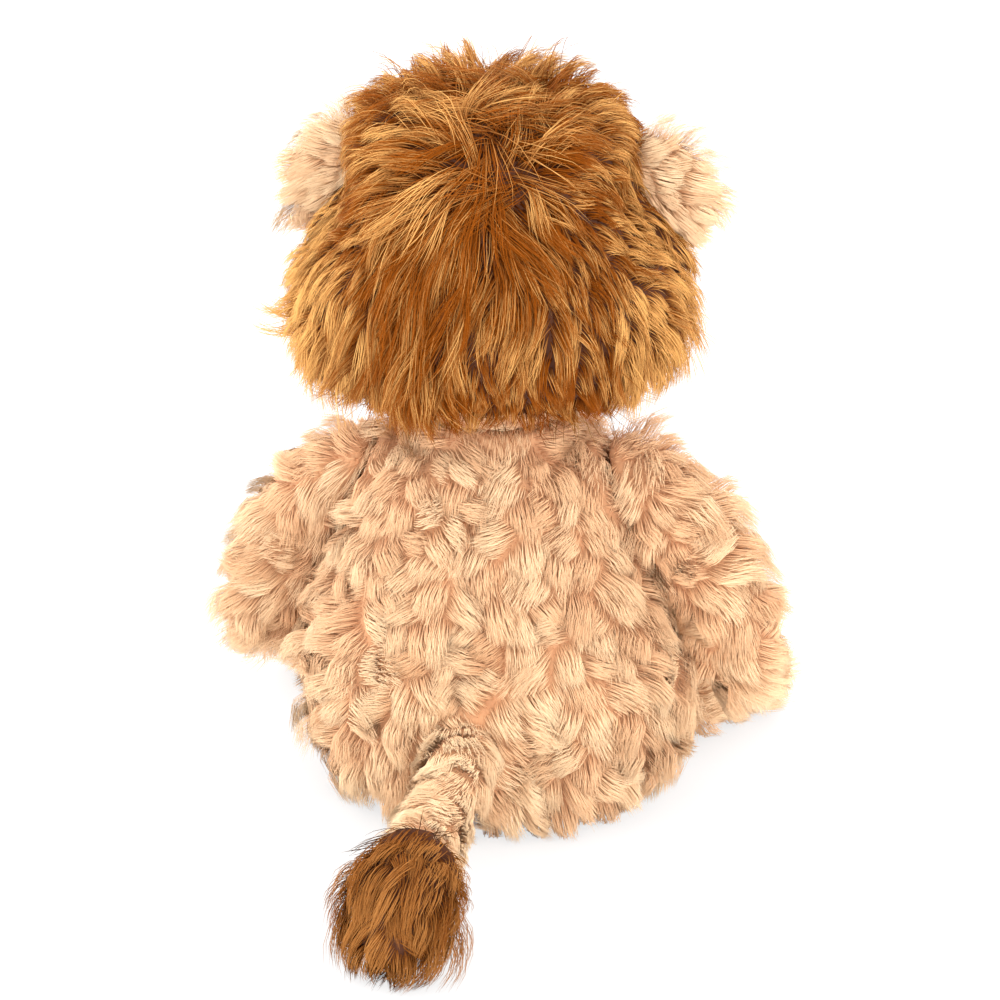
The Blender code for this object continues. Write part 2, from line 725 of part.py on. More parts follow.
def add_arm(label, side, plush, stuffing):
    """Add an arm's plush shell and its stuffing."""
    pivot = add_pivot(f"{label}_shoulder_pivot", shoulder_point(side))
    outward = arm_outward(side)
    arm = arm_form(f"{label}_arm", side, 0.0)
    cut(arm, arm_form(f"guide_{label}_arm_cavity", side, SHELL))
    root = shoulder_point(side)
    mouth_start, mouth_end = root - outward * GAP, root + outward * (SHELL + OVERRUN)
    cut(arm, rod(f"guide_{label}_arm_mouth", mouth_start, mouth_end, ARM_BORE_RADIUS))
    finish_piece(arm, plush, pivot)
    finish_piece(arm_form(f"{label}_arm_filling", side, SHELL + GAP), stuffing, pivot)


def round_root(radius, steps):
    """Return the (along, radius) pairs of a half ball that closes a limb's root."""
    angles = [math.pi / 2 * k / steps for k in range(steps)]
    return [(-radius * math.cos(angle), radius * math.sin(angle)) for angle in angles]


def leg_form(name, side, inset):
    """Loft a leg that lies on the floor, from its round root to the flat end of its foot."""
    hip, forward = hip_point(side), leg_forward(side)
    across = UP.cross(forward)
    steps, sides = detail(LEG_SIDES, inset)
    rings = []
    for along, radius in round_root(LEG_RADIUS - inset, LEG_ROOT_STEPS):
        rings.append(oval(hip + forward * along, across, UP, radius, radius, sides))
    for along, breadth, height in smooth(LEG_SHARES, steps):
        half_height = height * LEG_RADIUS
        centre = hip + forward * (along * (LEG_REACH - inset)) + UP * (half_height - LEG_RADIUS)
        rings.append(oval(centre, across, UP, breadth * LEG_RADIUS - inset, half_height - inset, sides))
    leg = loft(name, rings)
    trim(leg, Vector((0.0, 0.0, 0.0)), -UP)
    return leg


def add_leg(label, side, plush, stuffing, lining):
    """Add a leg's plush shell, its stuffing and the pad on its sole."""
    pivot = add_pivot(f"{label}_hip_pivot", hip_point(side))
    hip, forward = hip_point(side), leg_forward(side)
    leg = leg_form(f"{label}_leg", side, 0.0)
    cut(leg, leg_form(f"guide_{label}_leg_cavity", side, SHELL))
    cut(leg, rod(f"guide_{label}_leg_mouth", hip - forward * (LEG_RADIUS + OVERRUN), hip, LEG_BORE_RADIUS))
    finish_piece(leg, plush, pivot)
    finish_piece(leg_form(f"{label}_leg_filling", side, SHELL + GAP), stuffing, pivot)
    across = UP.cross(forward)
    half_height = LEG_SHARES[-1][2] * LEG_RADIUS
    seat = hip + forward * (LEG_REACH + GAP) + UP * (half_height - LEG_RADIUS)
    rings = []
    for rise, size in SOLE_SHARES:
        centre = seat + forward * (rise * SOLE_THICKNESS)
        rings.append(oval(centre, across, UP, size * LEG_RADIUS, size * LEG_RADIUS, LEG_SIDES))
    finish_piece(loft(f"{label}_sole", rings), lining, pivot)


def tail_form(name, inset):
    """Loft the tail from its round root to the end that the tuft hides."""
    root, along_tail = tail_root(), tail_direction()
    first, second = square_axes(along_tail)
    steps, sides = detail(TAIL_SIDES, inset)
    sections = round_root(TAIL_RADIUS - inset, TAIL_ROOT_STEPS)
    for along, size in smooth(TAIL_SHARES, steps):
        sections.append((along * (TAIL_LENGTH - inset), thinner(size * TAIL_RADIUS, inset)))
    return loft(name, [oval(root + along_tail * s, first, second, r, r, sides) for s, r in sections])


def add_tail(plush, stuffing, hair):
    """Add the tail's plush tube, its stuffing and the tuft of hair on its end."""
    pivot = add_pivot("tail_pivot", tail_root())
    root, along_tail = tail_root(), tail_direction()
    tail = tail_form("tail", 0.0)
    cut(tail, tail_form("guide_tail_cavity", SHELL))
    cut(tail, rod("guide_tail_mouth", root - along_tail * (TAIL_RADIUS + OVERRUN), root, TAIL_BORE_RADIUS))
    finish_piece(tail, plush, pivot)
    finish_piece(tail_form("tail_filling", SHELL + GAP), stuffing, pivot)
    level = Vector((along_tail.x, along_tail.y, 0.0)).normalized()
    across = UP.cross(level)
    rings = []
    for along, size in smooth(TUFT_SHARES, FINE_STEPS):
        radius = size * TUFT_RADIUS
        centre = root + along_tail * (TUFT_START + along * TUFT_LENGTH)
        centre.z = max(centre.z, radius - SEAT_SINK)
        rings.append(oval(centre, across, UP, radius, radius, TUFT_SIDES))
    tuft = loft("tail_tuft", rings)
    trim(tuft, Vector((0.0, 0.0, 0.0)), -UP)
    cut(tuft, tail_form("guide_tuft_socket", -GAP))
    finish_piece(tuft, hair, pivot)


def main():
    """Build the whole toy."""
    clear_scene()
    finishes = {
        "plush": material("beige_plush", (0.78, 0.55, 0.33), 0.95),
        "hair": material("mane_hair", (0.42, 0.17, 0.035), 0.7),
        "lining": material("cream_short_plush", (0.85, 0.68, 0.48), 0.95),
        "velour": material("nose_velour", (0.09, 0.035, 0.02), 0.85),
        "eye": material("eye_plastic", (0.012, 0.008, 0.006), 0.08),
        "washer": material("washer_plastic", (0.8, 0.8, 0.78), 0.4),
        "stuffing": material("polyester_stuffing", (0.9, 0.9, 0.88), 1.0),
        "pellets": material("pellet_bag_cloth", (0.75, 0.74, 0.70), 0.9),
    }
    add_torso(finishes["plush"], finishes["stuffing"], finishes["pellets"])
    add_head(finishes)
    for label, side in SIDES.items():
        add_arm(label, side, finishes["plush"], finishes["stuffing"])
        add_leg(label, side, finishes["plush"], finishes["stuffing"], finishes["lining"])
    add_tail(finishes["plush"], finishes["stuffing"], finishes["hair"])


main()
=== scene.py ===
"""Dresses the plush lion: stuffed skins, pile and mane hair made of real strands, a sewn face, and a studio.

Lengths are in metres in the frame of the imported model. The toy faces -Y, and its left side is at +X.
A pelt is grown by one geometry tree. It scatters roots over a skin, groups them in locks, and lays each
strand along the skin's flow, so that a lock's strands run side by side and end along one ragged edge.
"""

import json
import math
from typing import NamedTuple

import bmesh
import bpy
import numpy as np
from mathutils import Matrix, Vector
from mathutils.bvhtree import BVHTree

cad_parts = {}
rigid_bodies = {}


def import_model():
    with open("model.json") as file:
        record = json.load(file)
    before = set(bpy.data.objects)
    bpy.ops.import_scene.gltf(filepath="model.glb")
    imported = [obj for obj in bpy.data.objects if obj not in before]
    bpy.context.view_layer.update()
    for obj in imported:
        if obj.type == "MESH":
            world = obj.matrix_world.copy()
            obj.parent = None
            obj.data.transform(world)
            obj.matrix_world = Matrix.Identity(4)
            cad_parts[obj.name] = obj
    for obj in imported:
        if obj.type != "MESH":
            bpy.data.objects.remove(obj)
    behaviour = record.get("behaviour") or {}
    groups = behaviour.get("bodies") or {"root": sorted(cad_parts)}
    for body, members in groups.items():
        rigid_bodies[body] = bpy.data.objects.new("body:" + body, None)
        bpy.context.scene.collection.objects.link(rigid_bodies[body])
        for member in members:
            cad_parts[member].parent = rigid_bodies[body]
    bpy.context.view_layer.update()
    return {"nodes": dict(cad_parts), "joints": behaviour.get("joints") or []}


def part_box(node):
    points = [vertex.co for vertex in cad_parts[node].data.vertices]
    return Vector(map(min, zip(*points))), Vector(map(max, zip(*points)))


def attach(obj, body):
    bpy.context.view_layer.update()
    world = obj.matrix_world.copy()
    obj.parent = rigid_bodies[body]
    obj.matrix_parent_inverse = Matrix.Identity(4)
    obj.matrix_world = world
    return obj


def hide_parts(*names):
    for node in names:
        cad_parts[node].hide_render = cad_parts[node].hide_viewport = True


bl_info = {
    "name": "Plush Lion Dressing",
    "version": (1, 0, 0),
    "blender": (4, 5, 0),
    "location": "3D Viewport > Sidebar > Plush Lion",
    "description": "Dresses a packed plush lion in pile, mane hair, a sewn face and studio light",
    "category": "Object",
}

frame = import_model()
JOINTS = {joint["name"]: joint for joint in frame["joints"]}

MM = 0.001
UP = np.array((0.0, 0.0, 1.0))
STRAND_MAP = "OFBake"
TONES = 48
SIDES = ("left", "right")
CLOTH_FRAMES = 20
CLOTH_PRESSURE = 4.0
CLOTH_MOST = 3.0 * MM
FRIZZ_TURNS = 900.0
HAIR_SHINE = 0.03
HALF = (0.5, 0.5, 0.5)
SKIN_SHARES = ("flow", "long", "lift", "thick", "tone", "curl")


def linear(red, green, blue):
    """Return a colour given in 0 to 255 display values as the linear values that shaders take."""
    shares = [value / 255.0 for value in (red, green, blue)]
    return tuple(share / 12.92 if share <= 0.04045 else ((share + 0.055) / 1.055) ** 2.4 for share in shares)


class LionPileSettings(bpy.types.PropertyGroup):
    """Sizes of the body's pile."""

    reach: bpy.props.FloatProperty(
        name="Lock reach", description="From a lock's middle to its ends",
        default=10.5 * MM, subtype="DISTANCE",
    )
    spacing: bpy.props.FloatProperty(
        name="Lock spacing", description="Between the middles of locks", default=9.8 * MM, subtype="DISTANCE"
    )
    lift: bpy.props.FloatProperty(
        name="Lift", description="Height of the pile over the skin", default=7.5 * MM, subtype="DISTANCE"
    )
    width: bpy.props.FloatProperty(
        name="Strand width", description="Width of a strand", default=0.35 * MM, subtype="DISTANCE"
    )
    turn: bpy.props.FloatProperty(
        name="Lock turn", description="Most that a lock turns aside",
        default=math.radians(65.0), subtype="ANGLE",
    )


class LionManeSettings(bpy.types.PropertyGroup):
    """Sizes of the mane's and the tuft's hair."""

    length: bpy.props.FloatProperty(
        name="Hair length", description="Length of the mane's hair", default=36.0 * MM, subtype="DISTANCE"
    )
    spacing: bpy.props.FloatProperty(
        name="Wisp spacing", description="Between the middles of wisps", default=6.0 * MM, subtype="DISTANCE"
    )
    lift: bpy.props.FloatProperty(
        name="Lift", description="Height of the hair over the skin", default=6.5 * MM, subtype="DISTANCE"
    )
    width: bpy.props.FloatProperty(
        name="Strand width", description="Width of a strand", default=0.33 * MM, subtype="DISTANCE"
    )
    depth: bpy.props.FloatProperty(
        name="Skin depth", description="From the hair's surface to the skin",
        default=5.5 * MM, subtype="DISTANCE",
    )


class LionColourSettings(bpy.types.PropertyGroup):
    """Colours of the toy. The darker roots are partly the fibres' own colour and partly painted shade deep in
    the pile.
    """

    pile_dark: bpy.props.FloatVectorProperty(
        name="Pile root", description="Pile at its root", default=linear(182, 110, 68), subtype="COLOR"
    )
    pile_light: bpy.props.FloatVectorProperty(
        name="Pile tip", description="Pile at its tip", default=linear(255, 221, 178), subtype="COLOR"
    )
    hair_dark: bpy.props.FloatVectorProperty(
        name="Mane root", description="Mane at its root", default=linear(60, 20, 0), subtype="COLOR"
    )
    hair_middle: bpy.props.FloatVectorProperty(
        name="Mane middle", description="Mane halfway", default=linear(146, 75, 14), subtype="COLOR"
    )
    hair_light: bpy.props.FloatVectorProperty(
        name="Mane tip", description="Mane at its tip", default=linear(238, 180, 106), subtype="COLOR"
    )


class LionStageSettings(bpy.types.PropertyGroup):
    """Light and view."""

    key: bpy.props.FloatProperty(
        name="Key light", description="Power of the large lamp", default=10.5, unit="POWER"
    )
    sky: bpy.props.FloatProperty(name="Sky light", description="Strength of the light all round", default=2.0)
    azimuth: bpy.props.FloatProperty(
        name="View turn", description="Camera's turn round the toy",
        default=math.radians(191.0), subtype="ANGLE",
    )
    elevation: bpy.props.FloatProperty(
        name="View rise", description="Camera's angle over the floor",
        default=math.radians(24.0), subtype="ANGLE",
    )
    distance: bpy.props.FloatProperty(
        name="View distance", description="From the camera to the toy", default=1.2, subtype="DISTANCE"
    )


class Wire:
    """A node's output that can stand in a Python expression."""

    def __init__(self, graph, socket):
        self.graph = graph
        self.socket = socket

    def __getitem__(self, name):
        return Wire(self.graph, pick(self.socket.node.outputs, name))

    def __add__(self, other):
        return self.graph.join("ADD", self, other)

    def __radd__(self, other):
        return self.graph.join("ADD", other, self)

    def __sub__(self, other):
        return self.graph.join("SUBTRACT", self, other)

    def __rsub__(self, other):
        return self.graph.join("SUBTRACT", other, self)

    def __mul__(self, other):
        return self.graph.join("MULTIPLY", self, other)

    def __rmul__(self, other):
        return self.graph.join("MULTIPLY", other, self)

    def __truediv__(self, other):
        return self.graph.join("DIVIDE", self, other)

    def __rtruediv__(self, other):
        return self.graph.join("DIVIDE", other, self)

    def __neg__(self):
        return self * -1.0


def pick(sockets, key):
    """Return the socket with a number, or the first one in use with a name."""
    if isinstance(key, int):
        return sockets[key]
    return next(socket for socket in sockets if socket.enabled and socket.name == key)


def is_vector(value):
    """Tell whether a value or a wire has three parts."""
    if isinstance(value, Wire):
        return value.socket.type == "VECTOR"
    return isinstance(value, tuple)


class Graph:
    """A node tree that is filled by calls."""

    def __init__(self, tree):
        self.tree = tree
        tree.nodes.clear()

    def node(self, kind, settings=None, inputs=None):
        """Add a node, with its settings first, and return its first output in use."""
        made = self.tree.nodes.new(kind)
        for key, value in (settings or {}).items():
            if key == "stops":
                self.set_stops(made.color_ramp, value)
            else:
                setattr(made, key, value)
        for key, value in (inputs or {}).items():
            socket = pick(made.inputs, key)
            if isinstance(value, Wire):
                self.tree.links.new(value.socket, socket)
            else:
                socket.default_value = value
        return Wire(self, next((socket for socket in made.outputs if socket.enabled), None))

    @staticmethod
    def set_stops(ramp, stops):
        """Set a ramp's stops from (place, colour) pairs."""
        while len(ramp.elements) < len(stops):
            ramp.elements.new(1.0)
        for element, (place, colour) in zip(ramp.elements, stops):
            element.position = place
            element.color = (*colour, 1.0)

    def join(self, operation, first, second):
        """Return the result of an operation on two values, of which a vector may be one or both."""
        vectors = (is_vector(first), is_vector(second))
        if operation == "MULTIPLY" and any(vectors) and not all(vectors):
            vector, number = (first, second) if vectors[0] else (second, first)
            inputs = {"Vector": vector, "Scale": number}
            return self.node("ShaderNodeVectorMath", {"operation": "SCALE"}, inputs)
        kind = "ShaderNodeVectorMath" if any(vectors) else "ShaderNodeMath"
        return self.node(kind, {"operation": operation}, {0: first, 1: second})

    def apply(self, operation, *values):
        """Return the result of a function of numbers."""
        return self.node("ShaderNodeMath", {"operation": operation}, dict(enumerate(values)))

    def space(self, operation, *values):
        """Return the result of a function of vectors."""
        return self.node("ShaderNodeVectorMath", {"operation": operation}, dict(enumerate(values)))

    def blend(self, share, first, second, kind="FLOAT"):
        """Return a mix of two values of one kind."""
        return self.node("ShaderNodeMix", {"data_type": kind}, {"Factor": share, "A": first, "B": second})

    def limit(self, value, low=0.0, high=1.0):
        """Return a value held between two bounds."""
        return self.apply("MAXIMUM", self.apply("MINIMUM", value, high), low)

    def noise(self, place, size, detail=2.0):
        """Return noise from 0 to 1 whose blotches are about a size wide."""
        inputs = {"Vector": place, "Scale": 1.0 / size, "Detail": detail}
        return self.node("ShaderNodeTexNoise", {"noise_dimensions": "3D"}, inputs)

    def place(self):
        """Return the place on a piece, in the frame's metres."""
        return self.node("ShaderNodeTexCoord")["Object"]

    def tint(self, share, dark, light):
        """Return a mix of two colours."""
        return self.blend(share, (*dark, 1.0), (*light, 1.0), "RGBA")

    def bump(self, height, strength, distance):
        """Return the directions of a surface whose grain has a height."""
        sizes = {"Strength": strength, "Distance": distance, "Height": height}
        return self.node("ShaderNodeBump", None, sizes)

    def dot(self, first, second):
        """Return how far two vectors run the same way."""
        return self.space("DOT_PRODUCT", first, second)["Value"]

    def cross(self, first, second):
        """Return the vector at right angles to two others."""
        return self.space("CROSS_PRODUCT", first, second)

    def parts(self, vector):
        """Return a vector's parts, to be picked by X, Y and Z."""
        return self.node("ShaderNodeSeparateXYZ", None, {0: vector})

    def vector(self, **parts):
        """Return the vector that has some parts X, Y and Z."""
        return self.node("ShaderNodeCombineXYZ", None, parts)


class FormGraph(Graph):
    """A geometry tree with named inputs and attributes."""

    def __init__(self, name, sizes):
        tree = bpy.data.node_groups.new(name, "GeometryNodeTree")
        super().__init__(tree)
        tree.interface.new_socket("Form", in_out="INPUT", socket_type="NodeSocketGeometry")
        for key, kind in sizes.items():
            tree.interface.new_socket(key, in_out="INPUT", socket_type=f"NodeSocket{kind}")
        tree.interface.new_socket("Result", in_out="OUTPUT", socket_type="NodeSocketGeometry")
        self.given = self.node("NodeGroupInput")

    def read(self, name, kind="FLOAT"):
        """Return a named attribute."""
        return self.node("GeometryNodeInputNamedAttribute", {"data_type": kind}, {"Name": name})

    def store(self, geometry, name, value, kind="FLOAT", domain="POINT"):
        """Return the geometry with a named attribute added."""
        settings = {"data_type": kind, "domain": domain}
        inputs = {"Geometry": geometry, "Name": name, "Value": value}
        return self.node("GeometryNodeStoreNamedAttribute", settings, inputs)

    def chance(self, seed, identity=None):
        """Return a random number from 0 to 1 for each point, or for each identity."""
        inputs = {"Seed": seed}
        if identity is not None:
            inputs["ID"] = identity
        return self.node("FunctionNodeRandomValue", {"data_type": "FLOAT"}, inputs)

    def between(self, low, high, seed, identity=None):
        """Return a random number between two bounds for each point, or for each identity."""
        return low + self.chance(seed, identity) * (high - low)

    def read_way(self, name):
        """Return a named attribute that is a direction or a place."""
        return self.read(name, "FLOAT_VECTOR")

    def copies(self, points, form, **inputs):
        """Return real copies of a form on points."""
        inputs = {"Points": points, "Instance": form, **inputs}
        laid = self.node("GeometryNodeInstanceOnPoints", None, inputs)
        return self.node("GeometryNodeRealizeInstances", None, {"Geometry": laid})

    def end(self, geometry, material):
        """End the tree in a geometry of one material, and return the tree."""
        dyed = self.node("GeometryNodeSetMaterial", None, {"Geometry": geometry, "Material": material})
        self.node("NodeGroupOutput", None, {"Result": dyed})
        return self.tree


PELT_INPUTS = {"Strand": "Object", "Material": "Material", "Seed": "Int"}
PELT_SIZES = (
    "Density", "Spacing", "Turn", "Reach", "Least", "Even Ends", "Ragged", "Lift", "Crown", "Stand", "Gather",
    "Wave", "Wave Length", "Frizz", "Droop", "Width", "Floor", "Tone Spread", "Strand Spread",
)
PELT_INPUTS.update(dict.fromkeys(PELT_SIZES, "Float"))
PELT_STANDARD = {
    "Even Ends": 1.0, "Ragged": 0.25, "Crown": 0.5, "Stand": 0.45, "Gather": 0.0, "Wave": 0.0,
    "Wave Length": 40.0 * MM, "Frizz": 1.0 * MM, "Droop": 0.0, "Floor": 0.2 * MM, "Tone Spread": 0.5,
    "Strand Spread": 0.3,
}
LOCK_SEED = 7
LOCK_CLOSEST = 0.6
LOCK_CROWDING = 1.3
LOCK_FLOW = 0.75
LOCK_HALF = 0.62
LOCK_ROUND = 0.35
LOCK_PHASE = 0.9
STRAND_TURN = 0.3
STRAND_TAPER = 0.6
STRAND_FLAT = 0.7
FRIZZ_STRETCH = 1.6
FACING_TURN = (0.7, -0.15)
FACING_SIDE = 0.6
SOFT_NORMAL = 0.43
MAP_MARGIN = 0.05


def scatter_roots(graph):
    """Scatter roots over the skin and the middles of locks, and return both with the roots' normals kept."""
    given = graph.given
    inputs = {"Mesh": given["Form"], "Seed": given["Seed"]}
    inputs["Density"] = given["Density"] * graph.read("thick")
    roots = graph.node("GeometryNodeDistributePointsOnFaces", {"distribute_method": "RANDOM"}, inputs)
    kept = graph.store(roots, "normal_at", roots["Normal"], "FLOAT_VECTOR")
    kept = graph.store(kept, "root_at", graph.node("GeometryNodeInputPosition"), "FLOAT_VECTOR")
    room = given["Spacing"]
    spread = {"Mesh": given["Form"], "Distance Min": room * LOCK_CLOSEST, "Seed": LOCK_SEED}
    spread["Density Max"] = LOCK_CROWDING / (room * room)
    middles = graph.node("GeometryNodeDistributePointsOnFaces", {"distribute_method": "POISSON"}, spread)
    return kept, middles


def lay_locks(graph, roots, middles):
    """Give each root its lock's direction, length, height and tone."""
    given = graph.given
    place = graph.read_way("root_at")
    normal = graph.read_way("normal_at")
    inputs = {"Geometry": middles, "Sample Position": place}
    near = graph.node("GeometryNodeSampleNearest", {"domain": "POINT"}, inputs)

    def of_lock(value):
        inputs = {"Geometry": middles, "Value": value, "Index": near}
        return graph.node("GeometryNodeSampleIndex", {"data_type": "FLOAT_VECTOR", "domain": "POINT"}, inputs)

    offset = place - of_lock(graph.node("GeometryNodeInputPosition"))
    flow = graph.read_way("flow")
    flow = graph.blend(LOCK_FLOW, flow, of_lock(flow), "VECTOR")
    flow = graph.space("NORMALIZE", flow - normal * graph.dot(flow, normal))
    aside = graph.cross(normal, flow)
    turn = given["Turn"]
    angle = graph.between(-1.0, 1.0, 11, near) * turn + graph.between(-0.5, 0.5, 12) * (turn * STRAND_TURN)
    along = flow * graph.apply("COSINE", angle) + aside * graph.apply("SINE", angle)
    across = graph.cross(normal, along)
    side = graph.dot(offset, across)
    ahead = graph.dot(offset, along)
    beside = side / (given["Spacing"] * LOCK_HALF)
    edge = graph.limit(beside * beside)
    reach = given["Reach"] * graph.read("long") * graph.between(0.78, 1.22, 13, near)
    even = graph.apply("MAXIMUM", reach * (1.0 - edge * LOCK_ROUND) - ahead, given["Least"])
    length = graph.blend(given["Even Ends"], reach, even) * (1.0 - given["Ragged"] * graph.chance(14))
    crown = (1.0 - given["Crown"]) + given["Crown"] * (1.0 - edge)
    height = given["Lift"] * graph.read("lift") * crown * graph.between(0.5, 1.5, 15, near)
    height = height * graph.between(0.85, 1.15, 16)
    tone = 0.5 + graph.between(-0.5, 0.5, 17, near) * given["Tone Spread"]
    tone = tone + graph.between(-0.5, 0.5, 18) * given["Strand Spread"]
    tone = graph.limit(tone + graph.read("tone"), 0.0, 0.999)
    for name, value in (("long_by", length), ("high_by", height), ("side_by", side), ("tone_by", tone)):
        roots = graph.store(roots, name, value)
    roots = graph.store(roots, "phase_by", graph.chance(19, near) * math.tau + graph.chance(20) * LOCK_PHASE)
    return graph.store(roots, "along_by", along, "FLOAT_VECTOR")


def strand_places(graph):
    """Return where each point of a straight strand goes, and how its lock faces."""
    given = graph.given
    root = graph.read_way("root_at")
    normal = graph.read_way("normal_at")
    along = graph.read_way("along_by")
    across = graph.cross(normal, along)
    straight = graph.parts(graph.node("GeometryNodeInputPosition") - root)
    share = straight["Z"]
    length = graph.read("long_by")
    run = length * (share * (1.0 - given["Stand"]) + share * share * given["Stand"])
    height = graph.read("high_by") * (share * 2.0 - share * share)
    bend = graph.read("curl")
    turn = run * bend
    outward = normal * graph.apply("COSINE", turn) + along * graph.apply("SINE", turn)
    phase = graph.read("phase_by")
    wave = graph.apply("SINE", share * length / given["Wave Length"] * math.tau + phase)
    wave = wave - graph.apply("SINE", phase)
    drift = graph.read("side_by") * given["Gather"] * share + wave * given["Wave"] * share
    frizz = graph.noise(root * FRIZZ_TURNS + along * (share * FRIZZ_STRETCH), 1.0)["Color"] - HALF
    frizz = frizz * (given["Frizz"] * share)
    centre = root - normal * (1.0 / bend) + outward * (1.0 / bend + height) + across * drift + frizz
    centre = centre + graph.vector(Z=-given["Droop"] * share * share)
    thick = given["Width"] * 0.5 * (1.0 - share * share * STRAND_TAPER)
    place = centre + across * (straight["X"] * thick) + outward * (straight["Y"] * thick * STRAND_FLAT)
    parts = graph.parts(place)
    spot = graph.vector(X=parts["X"], Y=parts["Y"], Z=graph.apply("MAXIMUM", parts["Z"], given["Floor"]))
    sideways = graph.limit(graph.read("side_by") / given["Spacing"], -FACING_SIDE, FACING_SIDE)
    rise, start = FACING_TURN
    return spot, outward + along * (share * rise + start) + across * sideways


def pelt_tree():
    """Build the geometry tree that grows a pelt from a skin with flow, long, lift, thick, tone and curl."""
    graph = FormGraph("pelt", PELT_INPUTS)
    given = graph.given
    roots, middles = scatter_roots(graph)
    roots = lay_locks(graph, roots, middles)
    strand = graph.node("GeometryNodeObjectInfo", None, {"Object": given["Strand"]})["Geometry"]
    real = graph.copies(roots, strand)
    place, facing = strand_places(graph)
    real = graph.store(real, "facing_at", facing, "FLOAT_VECTOR")
    laid = graph.node("GeometryNodeSetPosition", None, {"Geometry": real, "Position": place})
    own = graph.node("GeometryNodeInputNormal")
    soft = graph.space("NORMALIZE", graph.blend(SOFT_NORMAL, own, graph.read_way("facing_at"), "VECTOR"))
    inputs = {"Mesh": laid, "Custom Normal": soft}
    laid = graph.node("GeometryNodeSetMeshNormal", {"mode": "FREE", "domain": "POINT"}, inputs)
    cell = graph.parts(graph.read(STRAND_MAP, "FLOAT_VECTOR"))
    shade = graph.apply("FLOOR", graph.read("tone_by") * TONES)
    column = (shade + MAP_MARGIN + cell["X"] * (1.0 - 2.0 * MAP_MARGIN)) / TONES
    mapped = graph.store(laid, STRAND_MAP, graph.vector(X=column, Y=cell["Y"]), "FLOAT2", "CORNER")
    return graph.end(mapped, given["Material"])


def strand_form(spans):
    """Return a straight three-sided strand of length 1 along Z, hidden, with its own map."""
    name = f"strand_{spans}"
    if name in bpy.data.objects:
        return bpy.data.objects[name]
    form = bmesh.new()
    layer = form.loops.layers.uv.new(STRAND_MAP)
    turns = [math.tau * k / 3 for k in range(3)]
    rings = [[form.verts.new((math.cos(a), math.sin(a), s / spans)) for a in turns] for s in range(spans)]
    tip = form.verts.new((0.0, 0.0, 1.0))

    def face(corners, map_places):
        made = form.faces.new(corners)
        made.smooth = True
        for loop, spot in zip(made.loops, map_places):
            loop[layer].uv = spot

    for k in range(3):
        left, right = k / 3, (k + 1) / 3
        after = (k + 1) % 3
        for s in range(spans - 1):
            low, high = s / spans, (s + 1) / spans
            corners = (rings[s][k], rings[s][after], rings[s + 1][after], rings[s + 1][k])
            face(corners, ((left, low), (right, low), (right, high), (left, high)))
        low = (spans - 1) / spans
        face((rings[-1][k], rings[-1][after], tip), ((left, low), (right, low), ((left + right) / 2, 1.0)))
    face(tuple(reversed(rings[0])), ((0.0, 0.0), (1.0, 0.0), (0.5, 0.04)))
    strand = link(name, mesh_from(name, form))
    strand.hide_render = True
    return strand


def places_of(mesh):
    """Return a mesh's points as rows."""
    values = np.empty(len(mesh.vertices) * 3)
    mesh.vertices.foreach_get("co", values)
    return values.reshape(-1, 3)


def normals_of(mesh):
    """Return a mesh's outward directions at its points as rows."""
    values = np.empty(len(mesh.vertices) * 3)
    mesh.vertex_normals.foreach_get("vector", values)
    return values.reshape(-1, 3)


def surface_of(thing):
    """Return a piece's points and its outward directions there."""
    return places_of(thing.data), normals_of(thing.data)


def corners_of(node):
    """Return the lowest and the highest corner of a CAD node's box."""
    low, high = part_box(node)
    return np.array(low), np.array(high)


def unit(rows):
    """Return rows made one long."""
    return rows / np.maximum(np.linalg.norm(rows, axis=-1, keepdims=True), 1e-12)


def ease(values, low, high):
    """Return 0 below low, 1 above high, and a smooth step between."""
    share = np.clip((values - low) / (high - low), 0.0, 1.0)
    return share * share * (3.0 - 2.0 * share)


def ease_mm(values, low, high):
    """Return the same step between two lengths that are given in millimetres."""
    return ease(values, low * MM, high * MM)


def ripple(places, size, seed):
    """Return smooth noise of about -1 to 1 whose waves are about a size long."""
    draw = np.random.default_rng(seed)
    total = np.zeros(len(places))
    for direction in unit(draw.normal(size=(7, 3))):
        turns = places @ direction * math.tau / size * draw.uniform(0.7, 1.4)
        total += np.sin(turns + draw.uniform(0, math.tau))
    return total / 2.6


def distance_to(nodes, places):
    """Return how far each place is from the nearest surface of some CAD nodes."""
    nearest = np.full(len(places), 1.0)
    for name in nodes:
        mesh = frame["nodes"][name].data
        tree = BVHTree.FromPolygons([v.co for v in mesh.vertices], [p.vertices for p in mesh.polygons])
        found = np.array([tree.find_nearest(Vector(place))[3] for place in places])
        nearest = np.minimum(nearest, found)
    return nearest


def mesh_from(name, form):
    """Return a form's mesh by a name, and free the form."""
    mesh = bpy.data.meshes.new(name)
    form.to_mesh(mesh)
    form.free()
    return mesh


def link(name, mesh):
    """Put a mesh in the scene as a named object."""
    thing = bpy.data.objects.new(name, mesh)
    bpy.context.scene.collection.objects.link(thing)
    return thing


def applied(thing):
    """Apply an object's modifiers and return it as a plain mesh."""
    bpy.context.view_layer.update()
    plain = bpy.data.meshes.new_from_object(thing.evaluated_get(bpy.context.evaluated_depsgraph_get()))
    thing.modifiers.clear()
    thing.data = plain
    return thing


def largest_part(mesh):
    """Delete all of a mesh but its largest connected part."""
    form = bmesh.new()
    form.from_mesh(mesh)
    left = set(form.verts)
    parts = []
    while left:
        part, edge = set(), [left.pop()]
        while edge:
            point = edge.pop()
            part.add(point)
            near = {e.other_vert(point) for e in point.link_edges} & left
            left -= near
            edge.extend(near)
        parts.append(part)
    parts.sort(key=len)
    for part in parts[:-1]:
        bmesh.ops.delete(form, geom=list(part), context="VERTS")
    form.to_mesh(mesh)
    form.free()


